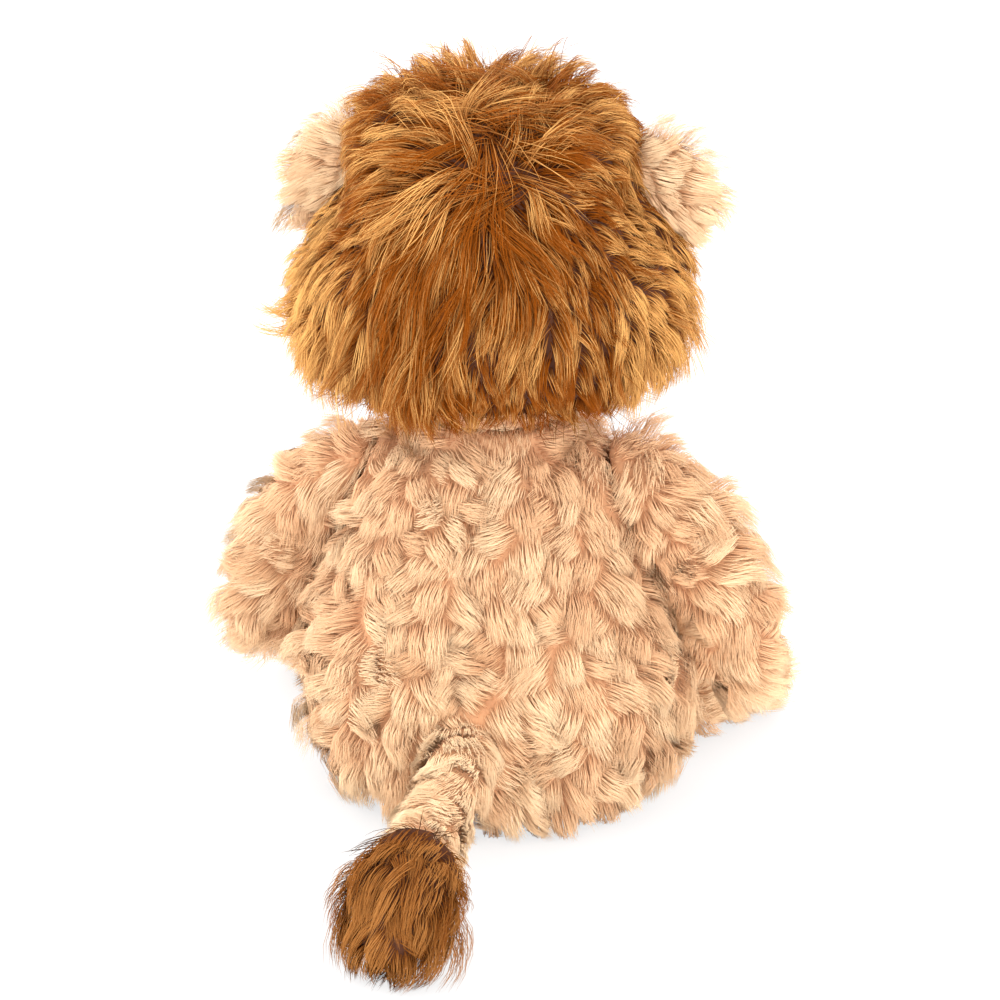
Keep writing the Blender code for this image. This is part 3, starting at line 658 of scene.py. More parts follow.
def merged(name, *nodes):
    """Return some CAD nodes' meshes as one piece, with their loose triangles joined."""
    form = bmesh.new()
    for node in nodes:
        form.from_mesh(frame["nodes"][node].data)
    bmesh.ops.remove_doubles(form, verts=form.verts, dist=0.01 * MM)
    return link(name, mesh_from(name, form))


def stuffed_form(name, nodes, voxel, rounds=6):
    """Return one closed form round some CAD nodes, with their edges softened."""
    thing = merged(name, *nodes)
    remesh = thing.modifiers.new("one_body", "REMESH")
    remesh.mode = "VOXEL"
    remesh.voxel_size = voxel
    remesh.use_smooth_shade = True
    relax = thing.modifiers.new("soften", "SMOOTH")
    relax.factor = 0.5
    relax.iterations = rounds
    applied(thing)
    largest_part(thing.data)
    return thing


def sink_skin(skin, depth, mates):
    """Move a skin in by the pile's depth, but not where it is sewn to its mates.

    The depth is a number or a function of places. Return how free each point is.
    """
    places = places_of(skin.data)
    depth = depth(places) if callable(depth) else depth
    free = ease_mm(distance_to(mates, places), 1.2, 9.0) if mates else np.ones(len(places))
    places = places - normals_of(skin.data) * (depth * free)[:, None]
    places[:, 2] = np.maximum(places[:, 2], 1.0 * MM)
    skin.data.vertices.foreach_set("co", places.ravel())
    skin.data.update()
    return free


def puff(skins):
    """Blow up some skins as sewn cloth for a few frames, and hold each point to the most that it may move."""
    scene = bpy.context.scene
    starts = {}
    for skin in skins:
        starts[skin] = places_of(skin.data)
        cloth = skin.modifiers.new("stuffing", "CLOTH")
        cloth.settings.use_pressure = True
        cloth.settings.uniform_pressure_force = CLOTH_PRESSURE
        cloth.settings.effector_weights.gravity = 0.0
        cloth.point_cache.frame_start = 1
        cloth.point_cache.frame_end = CLOTH_FRAMES
    for step in range(1, CLOTH_FRAMES + 1):
        scene.frame_set(step)
    for skin in skins:
        graph = bpy.context.evaluated_depsgraph_get()
        blown = skin.evaluated_get(graph).to_mesh()
        move = places_of(blown) - starts[skin]
        skin.evaluated_get(graph).to_mesh_clear()
        skin.modifiers.clear()
        size = np.linalg.norm(move, axis=1, keepdims=True)
        places = starts[skin] + move * np.minimum(1.0, CLOTH_MOST / np.maximum(size, 1e-9))
        places[:, 2] = np.maximum(places[:, 2], 0.8 * MM)
        skin.data.vertices.foreach_set("co", places.ravel())
        skin.data.update()
    scene.frame_set(1)


def store_share(mesh, name, values):
    """Store a number at each point of a mesh."""
    mesh.attributes.new(name, "FLOAT", "POINT").data.foreach_set("value", values.astype(np.float32))


def describe(skin, flow, **shares):
    """Store on a skin the direction in which its hair flows, and its other shares."""
    mesh = skin.data
    normal = normals_of(mesh)
    flow = unit(flow - normal * (flow * normal).sum(axis=1, keepdims=True))
    for name in SKIN_SHARES:
        if name in mesh.attributes:
            mesh.attributes.remove(mesh.attributes[name])
    ways = mesh.attributes.new("flow", "FLOAT_VECTOR", "POINT")
    ways.data.foreach_set("vector", flow.ravel().astype(np.float32))
    standard = {"long": 1.0, "lift": 1.0, "thick": 1.0, "tone": 0.0, "curl": 12.0}
    for name, value in {**standard, **shares}.items():
        store_share(mesh, name, np.full(len(mesh.vertices), value) if np.isscalar(value) else value)


def shape_by(tree, thing, sizes):
    """Shape a piece by a geometry tree as a plain mesh. An underscore in a size's name stands for a space."""
    made = thing.modifiers.new(tree.name, "NODES")
    made.node_group = tree
    keys = {item.name: item.identifier for item in tree.interface.items_tree if item.in_out == "INPUT"}
    for key, value in sizes.items():
        made[keys[key.replace("_", " ")]] = value
    return applied(thing)


def grow(name, skin, body, slot, dye, spans, **sizes):
    """Grow a pelt on a skin with a pile's colours, and hang it on a body as a plain mesh."""
    tree = bpy.data.node_groups.get("pelt") or pelt_tree()
    carrier = link(name, skin.data.copy())
    carrier.data.materials.clear()
    fixed = {"Strand": strand_form(spans), "Material": finish(dye)}
    shape_by(tree, carrier, {**PELT_STANDARD, **fixed, **sizes})
    for key in [attribute.name for attribute in carrier.data.attributes]:
        if key in SKIN_SHARES or key.endswith(("_at", "_by")):
            carrier.data.attributes.remove(carrier.data.attributes[key])
    return settle(carrier, body, slot)


class Finish(Graph):
    """A material that is filled by calls."""

    def __init__(self, name):
        self.material = bpy.data.materials.new(name)
        self.material.use_nodes = True
        super().__init__(self.material.node_tree)

    def surface(self, **sockets):
        """End the material in one Principled surface. An underscore in a socket's name stands for a space."""
        inputs = {key.replace("_", " "): value for key, value in sockets.items()}
        principled = self.node("ShaderNodeBsdfPrincipled", None, inputs)
        self.node("ShaderNodeOutputMaterial", None, {"Surface": principled})
        return self.material


def mixed(first, second, share):
    """Return a colour between two."""
    return tuple(one * (1.0 - share) + other * share for one, other in zip(first, second))


def strand_material(name, dark, light, middle=None, shine=0.25):
    """Hair coloured from dark at the root to light at the tip, with each lock's own tone. The dark roots are
    partly the fibres' own colour and partly painted shade deep in the pile.
    """
    graph = Finish(name)
    spot = graph.node("ShaderNodeUVMap", {"uv_map": STRAND_MAP})
    parts = graph.parts(spot)
    tone = graph.apply("FLOOR", parts["X"] * TONES) / TONES
    middle = middle or mixed(dark, light, 0.58)
    deep = mixed(dark, middle, 0.65)
    base = mixed(dark, middle, 0.75)
    warm = mixed(middle, light, 0.2)
    rise = graph.limit(parts["Y"] * 1.25)
    # Painted light and shade: the shady ramp paints a lock in shade and the sunny ramp a lit lock. Each
    # lock's random tone blends them, so locks differ partly in their own colour and partly in painted light.
    stops = (((0.0, dark), (0.45, deep), (1.0, middle)), ((0.0, base), (0.15, warm), (0.75, light)))
    shady, sunny = (graph.node("ShaderNodeValToRGB", {"stops": ramp}, {"Fac": rise}) for ramp in stops)
    colour = graph.blend(tone, shady, sunny, "RGBA")
    return graph.surface(Base_Color=colour, Roughness=0.6, Specular_IOR_Level=shine)


def skin_material(name, dark, light, size=3.0 * MM, sheen=0.3):
    """The knitted backing and short underwool between the strands. Some backings are coloured darker as
    painted shade in the gaps of the pile.
    """
    graph = Finish(name)
    place = graph.place()
    blotch = graph.noise(place, size * 4.0, 3.0)["Fac"]
    fibre = graph.noise(graph.space("MULTIPLY", place, (1.0, 1.0, 0.25)), size * 0.35, 3.0)["Fac"]
    share = graph.limit((blotch * 0.6 + fibre * 0.8) - 0.3)
    colour = graph.tint(share, dark, light)
    bump = graph.bump(fibre, 0.6, 0.6 * MM)
    return graph.surface(Base_Color=colour, Roughness=0.9, Normal=bump, Sheen_Weight=sheen)


def eye_material():
    """Polished plastic of a deep brown that is nearly black, with faint wear."""
    graph = Finish("eye_gloss")
    place = graph.place()
    wear = graph.noise(place, 1.5 * MM, 4.0)["Fac"]
    colour = graph.tint(wear, linear(16, 9, 6), linear(34, 20, 12))
    gloss = wear * 0.05 + 0.05
    return graph.surface(Base_Color=colour, Roughness=gloss, Coat_Weight=0.6, Coat_Roughness=0.03)


def moulded_material():
    """Matt moulded plastic of the washers."""
    graph = Finish("washer_moulding")
    place = graph.place()
    grain = graph.noise(place, 0.4 * MM, 3.0)["Fac"]
    colour = graph.tint(grain, linear(214, 213, 206), linear(232, 231, 226))
    bump = graph.bump(grain, 0.3, 0.05 * MM)
    return graph.surface(Base_Color=colour, Roughness=grain * 0.2 + 0.4, Normal=bump)


def thread_material():
    """Dark brown embroidery thread with its twist."""
    graph = Finish("mouth_thread")
    place = graph.place()
    twist = graph.node("ShaderNodeTexWave", None, {"Vector": place, "Scale": 700.0, "Distortion": 1.0})["Fac"]
    colour = graph.tint(twist, linear(52, 28, 18), linear(88, 52, 34))
    bump = graph.bump(twist, 0.5, 0.1 * MM)
    return graph.surface(Base_Color=colour, Roughness=0.55, Normal=bump, Sheen_Weight=0.2)


def settle(piece, body, slot, *nodes):
    """Hang a finished piece on a body, and let it stand for its CAD nodes."""
    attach(piece, body)
    if nodes:
        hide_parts(*nodes)
    return piece


def cover(skin, cloth, body, slot, node):
    """Let a padded skin of some cloth stand for its CAD node."""
    skin.data.materials.append(finish(cloth))
    settle(skin, body, slot, node)


CLOTHS = {
    # Painted shade: the body's and the mane's backings are darker than their pile. This is partly the backing
    # cloth's own colour and partly the shade in the gaps between locks and among the roots.
    "body_backing": (linear(192, 136, 96), linear(222, 168, 124), 3.0 * MM, 0.1),
    "mane_backing": (linear(58, 25, 7), linear(104, 54, 18), 3.0 * MM, 0.0),
    "cream_backing": (linear(206, 164, 122), linear(236, 204, 166), 1.5 * MM),
    "nose_velour": (linear(46, 26, 20), linear(84, 50, 38), 1.0 * MM),
    "stuffing_wool": (linear(222, 222, 216), linear(250, 250, 248), 2.0 * MM),
    "pellet_bag_weave": (linear(206, 203, 192), linear(228, 226, 218), 1.0 * MM),
}


def finish(name):
    """Return a cloth, or the dye of a pile with its painted shade, by its name, made once."""
    if name in bpy.data.materials:
        return bpy.data.materials[name]
    if name in CLOTHS:
        return skin_material(name, *CLOTHS[name])
    chosen = bpy.context.scene.lion_colours
    hair_dark = tuple(chosen.hair_dark)
    tuft_middle = linear(130, 72, 24)
    dyes_and_shades = {
        "body_pile_dye": (tuple(chosen.pile_dark), tuple(chosen.pile_light), linear(244, 190, 142)),
        "mane_hair_dye": (hair_dark, tuple(chosen.hair_light), tuple(chosen.hair_middle), HAIR_SHINE),
        "tuft_hair_dye": (mixed(hair_dark, tuft_middle, 0.5), linear(178, 120, 64), tuft_middle, HAIR_SHINE),
        "cream_pile_dye": (linear(196, 150, 108), linear(252, 232, 204)),
        "nose_fuzz_dye": (linear(40, 22, 17), linear(92, 58, 44)),
    }
    return strand_material(name, *dyes_and_shades[name])


def torso_depth(places):
    """Return the torso's pile depth, which is less where the weight spreads the toy, most on its right."""
    low = 1.0 - ease_mm(places[:, 2], 45.0, 95.0)
    right = ease_mm(-places[:, 0], 10.0, 70.0)
    return 6.5 * MM - low * (1.5 + 2.5 * right) * MM


class Skin(NamedTuple):
    """What one stuffed skin is made of: its shell, what fills it, its body, and what it is sewn to."""

    shell: str
    inside: tuple
    body: str
    mates: tuple
    voxel: float
    depth: object


def limb(name, *mates, depth=6.5 * MM):
    """Return the skin of a limb whose shell node has the limb's own name."""
    return Skin(name, (f"{name}_filling",), name, ("torso_shell", *mates), 3.5 * MM, depth)


SKINS = {
    "torso_skin": Skin(
        "torso_shell", ("torso_filling", "pellet_bag"), "torso",
        ("left_arm", "right_arm", "left_leg", "right_leg", "tail", "head_shell"), 4.0 * MM, torso_depth,
    ),
    "head_skin": Skin(
        "head_shell", ("head_filling", "left_eye_washer", "right_eye_washer"), "head",
        ("torso_shell", "left_ear", "right_ear"), 3.5 * MM, 4.3 * MM,
    ),
    "left_arm_skin": limb("left_arm", depth=7.3 * MM),
    "right_arm_skin": limb("right_arm", depth=5.0 * MM),
    "left_leg_skin": limb("left_leg", "left_sole"),
    "right_leg_skin": limb("right_leg", "right_sole", depth=5.0 * MM),
    "tail_skin": limb("tail", "tail_tuft", depth=3.5 * MM),
}


def body_skin(name):
    """Make one stuffed skin of the body's pile fabric, without its pile."""
    plan = SKINS[name]
    skin = stuffed_form(name, (plan.shell, *plan.inside), plan.voxel)
    free = sink_skin(skin, plan.depth, plan.mates)
    skin.vertex_groups.new(name="sewn")
    for index in np.flatnonzero(free < 0.3):
        skin.vertex_groups["sewn"].add([int(index)], 1.0, "REPLACE")
    store_share(skin.data, "free", free)
    return skin


def freedom(skin):
    """Return how far each point of a skin is from being sewn down."""
    values = np.empty(len(skin.data.vertices))
    skin.data.attributes["free"].data.foreach_get("value", values)
    return values


def direction_of(node, joint):
    """Return the direction from a joint to the middle of a node."""
    low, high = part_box(node)
    return unit(np.array((low + high) / 2) - np.array(JOINTS[joint]["pos_m"]))


def swirled(flow, normal, angle):
    """Return a flow turned about the skin's outward direction by an angle at each point."""
    flow = unit(flow - normal * (flow * normal).sum(axis=1, keepdims=True))
    return flow * np.cos(angle)[:, None] + np.cross(normal, flow) * np.sin(angle)[:, None]


def straight(direction):
    """Return a flow that is one direction all over."""
    return lambda places, normals: np.tile(direction, (len(places), 1))


def pile_sizes():
    """Return the sizes of the body's pile as the tree's inputs."""
    pile = bpy.context.scene.lion_pile
    sizes = {"Spacing": pile.spacing, "Reach": pile.reach, "Lift": pile.lift, "Width": pile.width}
    shape = {"Least": 6.0 * MM, "Gather": -0.06, "Frizz": 1.7 * MM, "Ragged": 0.2, "Crown": 0.7}
    return {**sizes, "Turn": pile.turn, "Tone Spread": 0.6, **shape}


def off_the_floor(places, normals):
    """Return 0 where a skin rests on the floor and 1 elsewhere."""
    return 1.0 - (1.0 - ease_mm(places[:, 2], 3.0, 9.0)) * ease(-normals[:, 2], 0.3, 0.8)


def body_pile(name, skin_name, flow, density, keep=None, seed=1, pale=0.0, rise=(1.0, 1.0), **changes):
    """Grow pile on one of the body's skins.

    Keep is the share of the pile that is kept at each point, and rise how far it lifts low down and high up.
    """
    skin = bpy.data.objects[skin_name]
    places, normals = surface_of(skin)
    free = freedom(skin)
    thick = (0.5 + 0.5 * free) * off_the_floor(places, normals)
    if keep is not None:
        thick = thick * keep(places, normals)
    angle = ripple(places, 38.0 * MM, seed) * 0.95
    tone = pale + 0.16 * (1.0 - ease_mm(places[:, 2], 30.0, 110.0))
    above = ease_mm(places[:, 2], 60.0, 150.0)
    lift = (0.45 + 0.55 * free) * (rise[0] * (1.0 - above) + rise[1] * above)
    shares = {"thick": thick, "lift": lift, "long": 0.65 + 0.35 * free, "tone": tone}
    describe(skin, swirled(flow(places, normals), normals, angle), **shares)
    sizes = {**pile_sizes(), "Density": density, "Seed": seed, **changes}
    return grow(name, skin, SKINS[skin_name].body, "beige_plush", "body_pile_dye", 2, **sizes)


class LION_OT_skins(bpy.types.Operator):
    """Make the stuffed skins of torso, head, limbs and tail as sewn cloth under pressure"""

    bl_idname = "lion.skins"
    bl_label = "Stuffed Skins"

    def execute(self, context):
        skins = [body_skin(name) for name in SKINS]
        puff(skins)
        for skin in skins:
            plan = SKINS[skin.name]
            skin.vertex_groups.clear()
            cover(skin, "body_backing", plan.body, "beige_plush", plan.shell)
        return {"FINISHED"}


class LION_OT_body_pile(bpy.types.Operator):
    """Grow the pile of the torso, which falls in turned locks"""

    bl_idname = "lion.body_pile"
    bl_label = "Torso Pile"

    def execute(self, context):
        down = straight((0.0, 0.15, -1.0))
        regions = {
            "back_left": lambda places, _: (places[:, 1] >= 0.0) & (places[:, 0] >= 0.0),
            "back_right": lambda places, _: (places[:, 1] >= 0.0) & (places[:, 0] < 0.0),
            "front": lambda places, _: places[:, 1] < 0.0,
        }
        for region, inside in regions.items():
            density = 520e3 if region == "front" else 1200e3
            body_pile(f"torso_pile_{region}", "torso_skin", down, density, inside, seed=3, rise=(1.2, 1.0))
        return {"FINISHED"}


class LION_OT_limb_pile(bpy.types.Operator):
    """Grow the pile of the arms and the legs along each limb"""

    bl_idname = "lion.limb_pile"
    bl_label = "Limb Pile"

    def execute(self, context):
        lifts = {"left": (6.5 * MM, 5.0 * MM), "right": (9.0 * MM, 7.5 * MM)}
        rises = {"left": (1.5, 0.75), "right": (0.8, 1.3)}
        turned = math.radians(50.0)
        for index, side in enumerate(SIDES):
            on_arm, on_leg = lifts[side]
            down = straight(direction_of(f"{side}_arm", f"{side}_arm_swing"))
            ahead = straight(direction_of(f"{side}_leg", f"{side}_leg_spread"))
            body_pile(
                f"{side}_arm_pile", f"{side}_arm_skin", down, 1250e3, seed=11 + index, rise=rises[side],
                Lift=on_arm, Turn=turned, Spacing=9.0 * MM, Reach=9.5 * MM,
            )
            body_pile(f"{side}_leg_pile", f"{side}_leg_skin", ahead, 900e3, seed=21 + index, Lift=on_leg)
        return {"FINISHED"}


class LION_OT_tail(bpy.types.Operator):
    """Grow the tail's pile, and make its tuft"""

    bl_idname = "lion.tail"
    bl_label = "Tail and Tuft"

    def execute(self, context):
        along = direction_of("tail_tuft", "tail_lift")
        body_pile(
            "tail_pile", "tail_skin", straight(along), 1600e3, seed=31, pale=0.25,
            Spacing=8.0 * MM, Reach=9.0 * MM, Lift=4.6 * MM, Turn=math.radians(30.0), Frizz=0.8 * MM,
            Gather=0.2,
        )
        tuft = stuffed_form("tuft_mass", ("tail_tuft",), 3.0 * MM)
        free = sink_skin(tuft, 7.0 * MM, ("tail",))
        places, normals = surface_of(tuft)
        low, high = corners_of("tail_tuft")
        axis = (low + high) / 2
        beside = places - axis - along * ((places - axis) @ along)[:, None]
        late = ease_mm((places - axis) @ along, -6.0, 14.0)
        flow = along + unit(beside) * (0.35 + 0.5 * late)[:, None] + np.array((0.0, 0.0, -0.2))
        facing = (normals * along).sum(axis=1)
        end = (places_of(frame["nodes"]["tail_tuft"].data) @ along).max()
        left_over = (end - places @ along) / (20.0 * MM)
        long = np.clip(left_over * 0.92, 0.3, 1.0) * (1.0 - 0.3 * (1.0 - ease(facing, -0.5, 0.0)))
        upper = 1.0 - ease(facing, -0.6, 0.2)
        lift = (0.2 + 0.8 * free) * (0.4 + 0.6 * long) * (1.0 - 0.5 * upper)
        lift = lift * (1.0 + 0.5 * ease(-normals[:, 0], 0.2, 0.8))
        describe(tuft, flow, thick=0.5 + 0.5 * free, long=long, lift=lift, curl=9.0 + 34.0 * upper)
        grow(
            "tuft_hair", tuft, "tail", "mane_hair", "tuft_hair_dye", 4, Density=800e3, Seed=33,
            Spacing=7.0 * MM, Reach=20.0 * MM, Least=6.0 * MM, Lift=7.0 * MM, Width=0.38 * MM,
            Turn=math.radians(18.0), Gather=-0.6, Wave=1.2 * MM, Wave_Length=34.0 * MM, Ragged=0.4,
            Even_Ends=0.1, Tone_Spread=0.7, Strand_Spread=0.6,
        )
        cover(tuft, "mane_backing", "tail", "mane_hair", "tail_tuft")
        return {"FINISHED"}


MANE_WHORL = np.array((-11.0, 49.0, 268.0)) * MM
MANE_CREST = np.array((-8.0, 20.0, 284.0)) * MM
MANE_PARTINGS = np.array(((5.0, 72.0, 222.0), (-12.0, 70.0, 203.0))) * MM


def from_whorl(places):
    """Return the way from the whorl, which is a short line up to the crest, to each place."""
    line = MANE_CREST - MANE_WHORL
    share = np.clip(((places - MANE_WHORL) @ line) / (line @ line), 0.0, 1.0)
    return places - MANE_WHORL - share[:, None] * line


def mane_flow(places):
    """Return the direction of the mane's hair: away from the whorl, and down as it falls."""
    away = from_whorl(places)
    far = np.linalg.norm(away, axis=1)
    beside = ease_mm(np.abs(places[:, 0]), 20.0, 50.0)
    return unit(away) - UP * ((0.4 - 0.3 * beside) * ease_mm(far, 20.0, 80.0))[:, None]


def stop_short(places, flow, goal, radius, length):
    """Return the share of a length that hair keeps so that it ends before a goal that lies in its way."""
    ahead = ((goal - places) * flow).sum(axis=1)
    beside = np.linalg.norm(goal - places - flow * ahead[:, None], axis=1)
    meets = (1.0 - ease(beside, radius * 0.6, radius * 1.2)) * (ahead > 0.0)
    return 1.0 - meets * (1.0 - np.clip((ahead - radius * 0.7) / length, 0.25, 1.0))


def mane_length(places, flow, length):
    """Return the share of its full length that the hair keeps, which is less by the ears and low down."""
    share = np.ones(len(places))
    for side in SIDES:
        low, high = corners_of(f"{side}_ear")
        middle, radius = (low + high) / 2, (high[2] - low[2]) / 2
        toward = ease((flow * unit(middle - places)).sum(axis=1), 0.0, 0.6)
        near = distance_to((f"{side}_ear",), places)
        share = np.minimum(share, 1.0 - toward * (1.0 - np.clip((near + 3.0 * MM) / length, 0.2, 1.0)))
        beside = np.hypot(places[:, 0] - middle[0], places[:, 2] - middle[2])
        share = np.minimum(share, 0.3 + 0.7 * ease(beside, radius, radius * 2.1))
    for parting in MANE_PARTINGS:
        share = np.minimum(share, stop_short(places, flow, parting, 7.0 * MM, length))
    off_nape = ease_mm(np.abs(places[:, 0] + 24.0 * MM), 22.0, 38.0)
    nape = ease_mm(places[:, 1], 30.0, 55.0) * (1.0 - off_nape)
    right = ease_mm(-places[:, 0], 42.0, 62.0)
    share = share * (1.0 - 0.9 * nape * (1.0 - ease_mm(places[:, 2], 186.0, 232.0)))
    left = ease_mm(places[:, 0], 45.0, 65.0)
    low = 1.0 - ease_mm(places[:, 2], 175.0, 225.0)
    share = share * (1.0 - low * (0.55 * right + 0.35 * left))
    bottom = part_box("mane")[0][2]
    return share * (0.62 + 0.38 * ease(places[:, 2], bottom, bottom + 35.0 * MM))


def mane_regions(places):
    """Return how far each place lies in the crown, and in the cheeks."""
    far = np.linalg.norm(from_whorl(places), axis=1)
    crown = ease_mm(places[:, 2], 252.0, 276.0) * ease_mm(far, 6.0, 22.0)
    return crown, ease_mm(np.abs(places[:, 0]), 45.0, 66.0)


class LION_OT_mane(bpy.types.Operator):
    """Make the mane: a dark underlayer painted as the shade among the roots, hair that leaves a whorl behind
    the crown, and loose wisps over it
    """

    bl_idname = "lion.mane"
    bl_label = "Mane"

    def execute(self, context):
        sizes = context.scene.lion_mane
        mass = stuffed_form("mane_mass", ("mane",), 3.5 * MM)
        places = places_of(mass.data)
        far = np.linalg.norm(from_whorl(places), axis=1)
        crown, cheeks = mane_regions(places)
        depth = sizes.depth + 0.8 * MM * cheeks
        free = sink_skin(mass, depth, ("head_shell", "left_ear", "right_ear"))
        places, normals = surface_of(mass)
        low, high = corners_of("head_shell")
        outer = ease((normals * unit(places - (low + high) / 2)).sum(axis=1), 0.0, 0.3)
        partings = np.min([np.linalg.norm(places - spot, axis=1) for spot in MANE_PARTINGS], axis=0)
        outer = outer * (0.3 + 0.7 * ease_mm(partings, 4.0, 12.0))
        flow = mane_flow(places)
        long = mane_length(places, unit(flow), sizes.length)
        corners = ease_mm(np.abs(places[:, 0]), 18.0, 50.0)
        tall = 1.0 + 0.6 * crown * (1.0 - 0.9 * corners) + 0.25 * cheeks
        lift = (0.45 + 0.55 * free) * tall * (0.4 + 0.6 * long)
        long = long * (1.0 - 0.58 * crown)
        # Painted light: the tone is raised on the cheeks and low on the left side, where the light and the
        # hair's sheen fall, and lowered on the right cheek, which gets less of it. The crown is raised a
        # little, and a ripple varies the tone at random.
        tone = ripple(places, 30.0 * MM, 42) * 0.14 - 0.46 + np.maximum(cheeks, 0.26 * crown)
        tone = tone - 0.2 * cheeks * (places[:, 0] < 0.0)
        low = 1.0 - ease_mm(places[:, 2], 214.0, 238.0)
        tone = tone + 0.6 * low * ease_mm(places[:, 0], 24.0, 44.0) * (1.0 - 0.7 * cheeks)
        swirl = 1.0 - ease_mm(far, 8.0, 24.0)
        angle = ripple(places, 38.0 * MM, 41) * 0.4 + ripple(places, 12.0 * MM, 40) * 2.4 * swirl
        curl = 14.0 - 12.0 * np.maximum(ease_mm(np.abs(places[:, 0]), 28.0, 52.0), crown)
        top = (places[:, 2] >= 262.0 * MM) & (places[:, 1] < 45.0 * MM)
        behind = (places[:, 1] >= 18.0 * MM) & ~top
        loose = {"Gather": -0.65, "Wave": 1.6 * MM, "Ragged": 0.5, "Even Ends": 0.2}
        loose["Turn"] = math.radians(20.0)
        pointed = {"Gather": -0.95, "Wave": 1.0 * MM, "Ragged": 0.22, "Even Ends": 0.8}
        pointed["Turn"] = math.radians(22.0)
        regions = {
            "back_left": (behind & (places[:, 0] >= 0.0), 860e3, loose),
            "back_right": (behind & (places[:, 0] < 0.0), 860e3, loose),
            "crown": (top, 760e3, pointed),
            "front": (~behind & ~top, 560e3, pointed),
        }
        hair = {
            "Reach": sizes.length, "Least": 9.0 * MM, "Width": sizes.width, "Droop": 3.0 * MM, "Crown": 0.4,
            "Frizz": 1.4 * MM, "Tone Spread": 0.8, "Wave Length": 32.0 * MM, "Strand Spread": 0.9,
        }
        combed = swirled(flow, normals, angle)
        for index, (name, (inside, density, style)) in enumerate(regions.items()):
            describe(mass, combed, thick=outer * inside, long=long, lift=lift, curl=curl, tone=tone)
            grow(
                f"mane_hair_{name}", mass, "head", "mane_hair", "mane_hair_dye", 4, Density=density,
                Seed=43 + index, Spacing=sizes.spacing, Lift=sizes.lift, **hair, **style,
            )
        thick = outer * ease(long, 0.3, 0.7) * (0.6 + 1.1 * np.maximum(crown, cheeks))
        ruffled = swirled(flow, normals, angle * 1.5)
        describe(mass, ruffled, long=long, lift=lift, thick=thick, curl=curl, tone=tone + 0.12)
        grow(
            "mane_wisps", mass, "head", "mane_hair", "mane_hair_dye", 5, Density=190e3, Seed=47,
            Spacing=10.0 * MM, Lift=sizes.lift * 1.4, Turn=math.radians(28.0), Gather=-1.0, Wave=2.0 * MM,
            Ragged=0.15, Even_Ends=0.9, **hair,
        )
        cover(mass, "mane_backing", "head", "mane_hair", "mane")
        return {"FINISHED"}


def mouth_lines():
    """Return the mouth's lines as (x, z) places: one down from the nose, and a curve to each side."""
    nose_low = np.array(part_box("nose")[0])
    top, parting = nose_low[2] - 0.5 * MM, nose_low[2] - 7.0 * MM
    turns = np.linspace(0.0, math.pi * 0.62, 9)
    reach, drop = 8.5 * MM, 5.0 * MM
    curve = [(reach * (1.0 - math.cos(turn)), parting - drop * math.sin(turn)) for turn in turns]
    down = [(0.0, top + (parting - top) * share) for share in np.linspace(0.0, 1.0, 5)]
    return [down, curve, [(-x, z) for x, z in curve]]


def laid_on(skin, line):
    """Return (x, z) places as points on the front of a skin."""
    mesh = skin.data
    tree = BVHTree.FromPolygons([v.co for v in mesh.vertices], [p.vertices for p in mesh.polygons])
    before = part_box("muzzle")[0][1] - 20.0 * MM
    hits = [tree.ray_cast(Vector((x, before, z)), Vector((0.0, 1.0, 0.0)))[0] for x, z in line]
    return [np.array(hit) + (0.0, -0.5 * MM, 0.0) for hit in hits if hit]


def stitch_tree():
    """Build the geometry tree that lays stitches end to end along a line of thread."""
    graph = FormGraph("stitches", {"Stitch Length": "Float", "Thread Radius": "Float", "Thread": "Material"})
    given = graph.given
    line = graph.node("GeometryNodeMeshToCurve", None, {"Mesh": given["Form"]})
    inputs = {"Curve": line, "Length": given["Stitch Length"]}
    spots = graph.node("GeometryNodeResampleCurve", {"mode": "LENGTH"}, inputs)
    inputs = {"Vertices": 8, "Side Segments": 4}
    inputs |= {"Radius": given["Thread Radius"], "Depth": given["Stitch Length"]}
    stitch = graph.node("GeometryNodeMeshCylinder", None, inputs)
    inputs = {"Vector": graph.node("GeometryNodeInputTangent")}
    turn = graph.node("FunctionNodeAlignRotationToVector", {"axis": "Z"}, inputs)
    return graph.end(graph.copies(spots, stitch, Rotation=turn), given["Thread"])


def sewn_mouth(lines):
    """Return the mouth, sewn in thread along its lines."""
    form = bmesh.new()
    for line in lines:
        points = [form.verts.new(point) for point in line]
        for start, end in zip(points, points[1:]):
            form.edges.new((start, end))
    mouth = link("mouth_stitches", mesh_from("mouth_stitches", form))
    sizes = {"Stitch Length": 1.7 * MM, "Thread Radius": 0.75 * MM, "Thread": thread_material()}
    return shape_by(stitch_tree(), mouth, sizes)


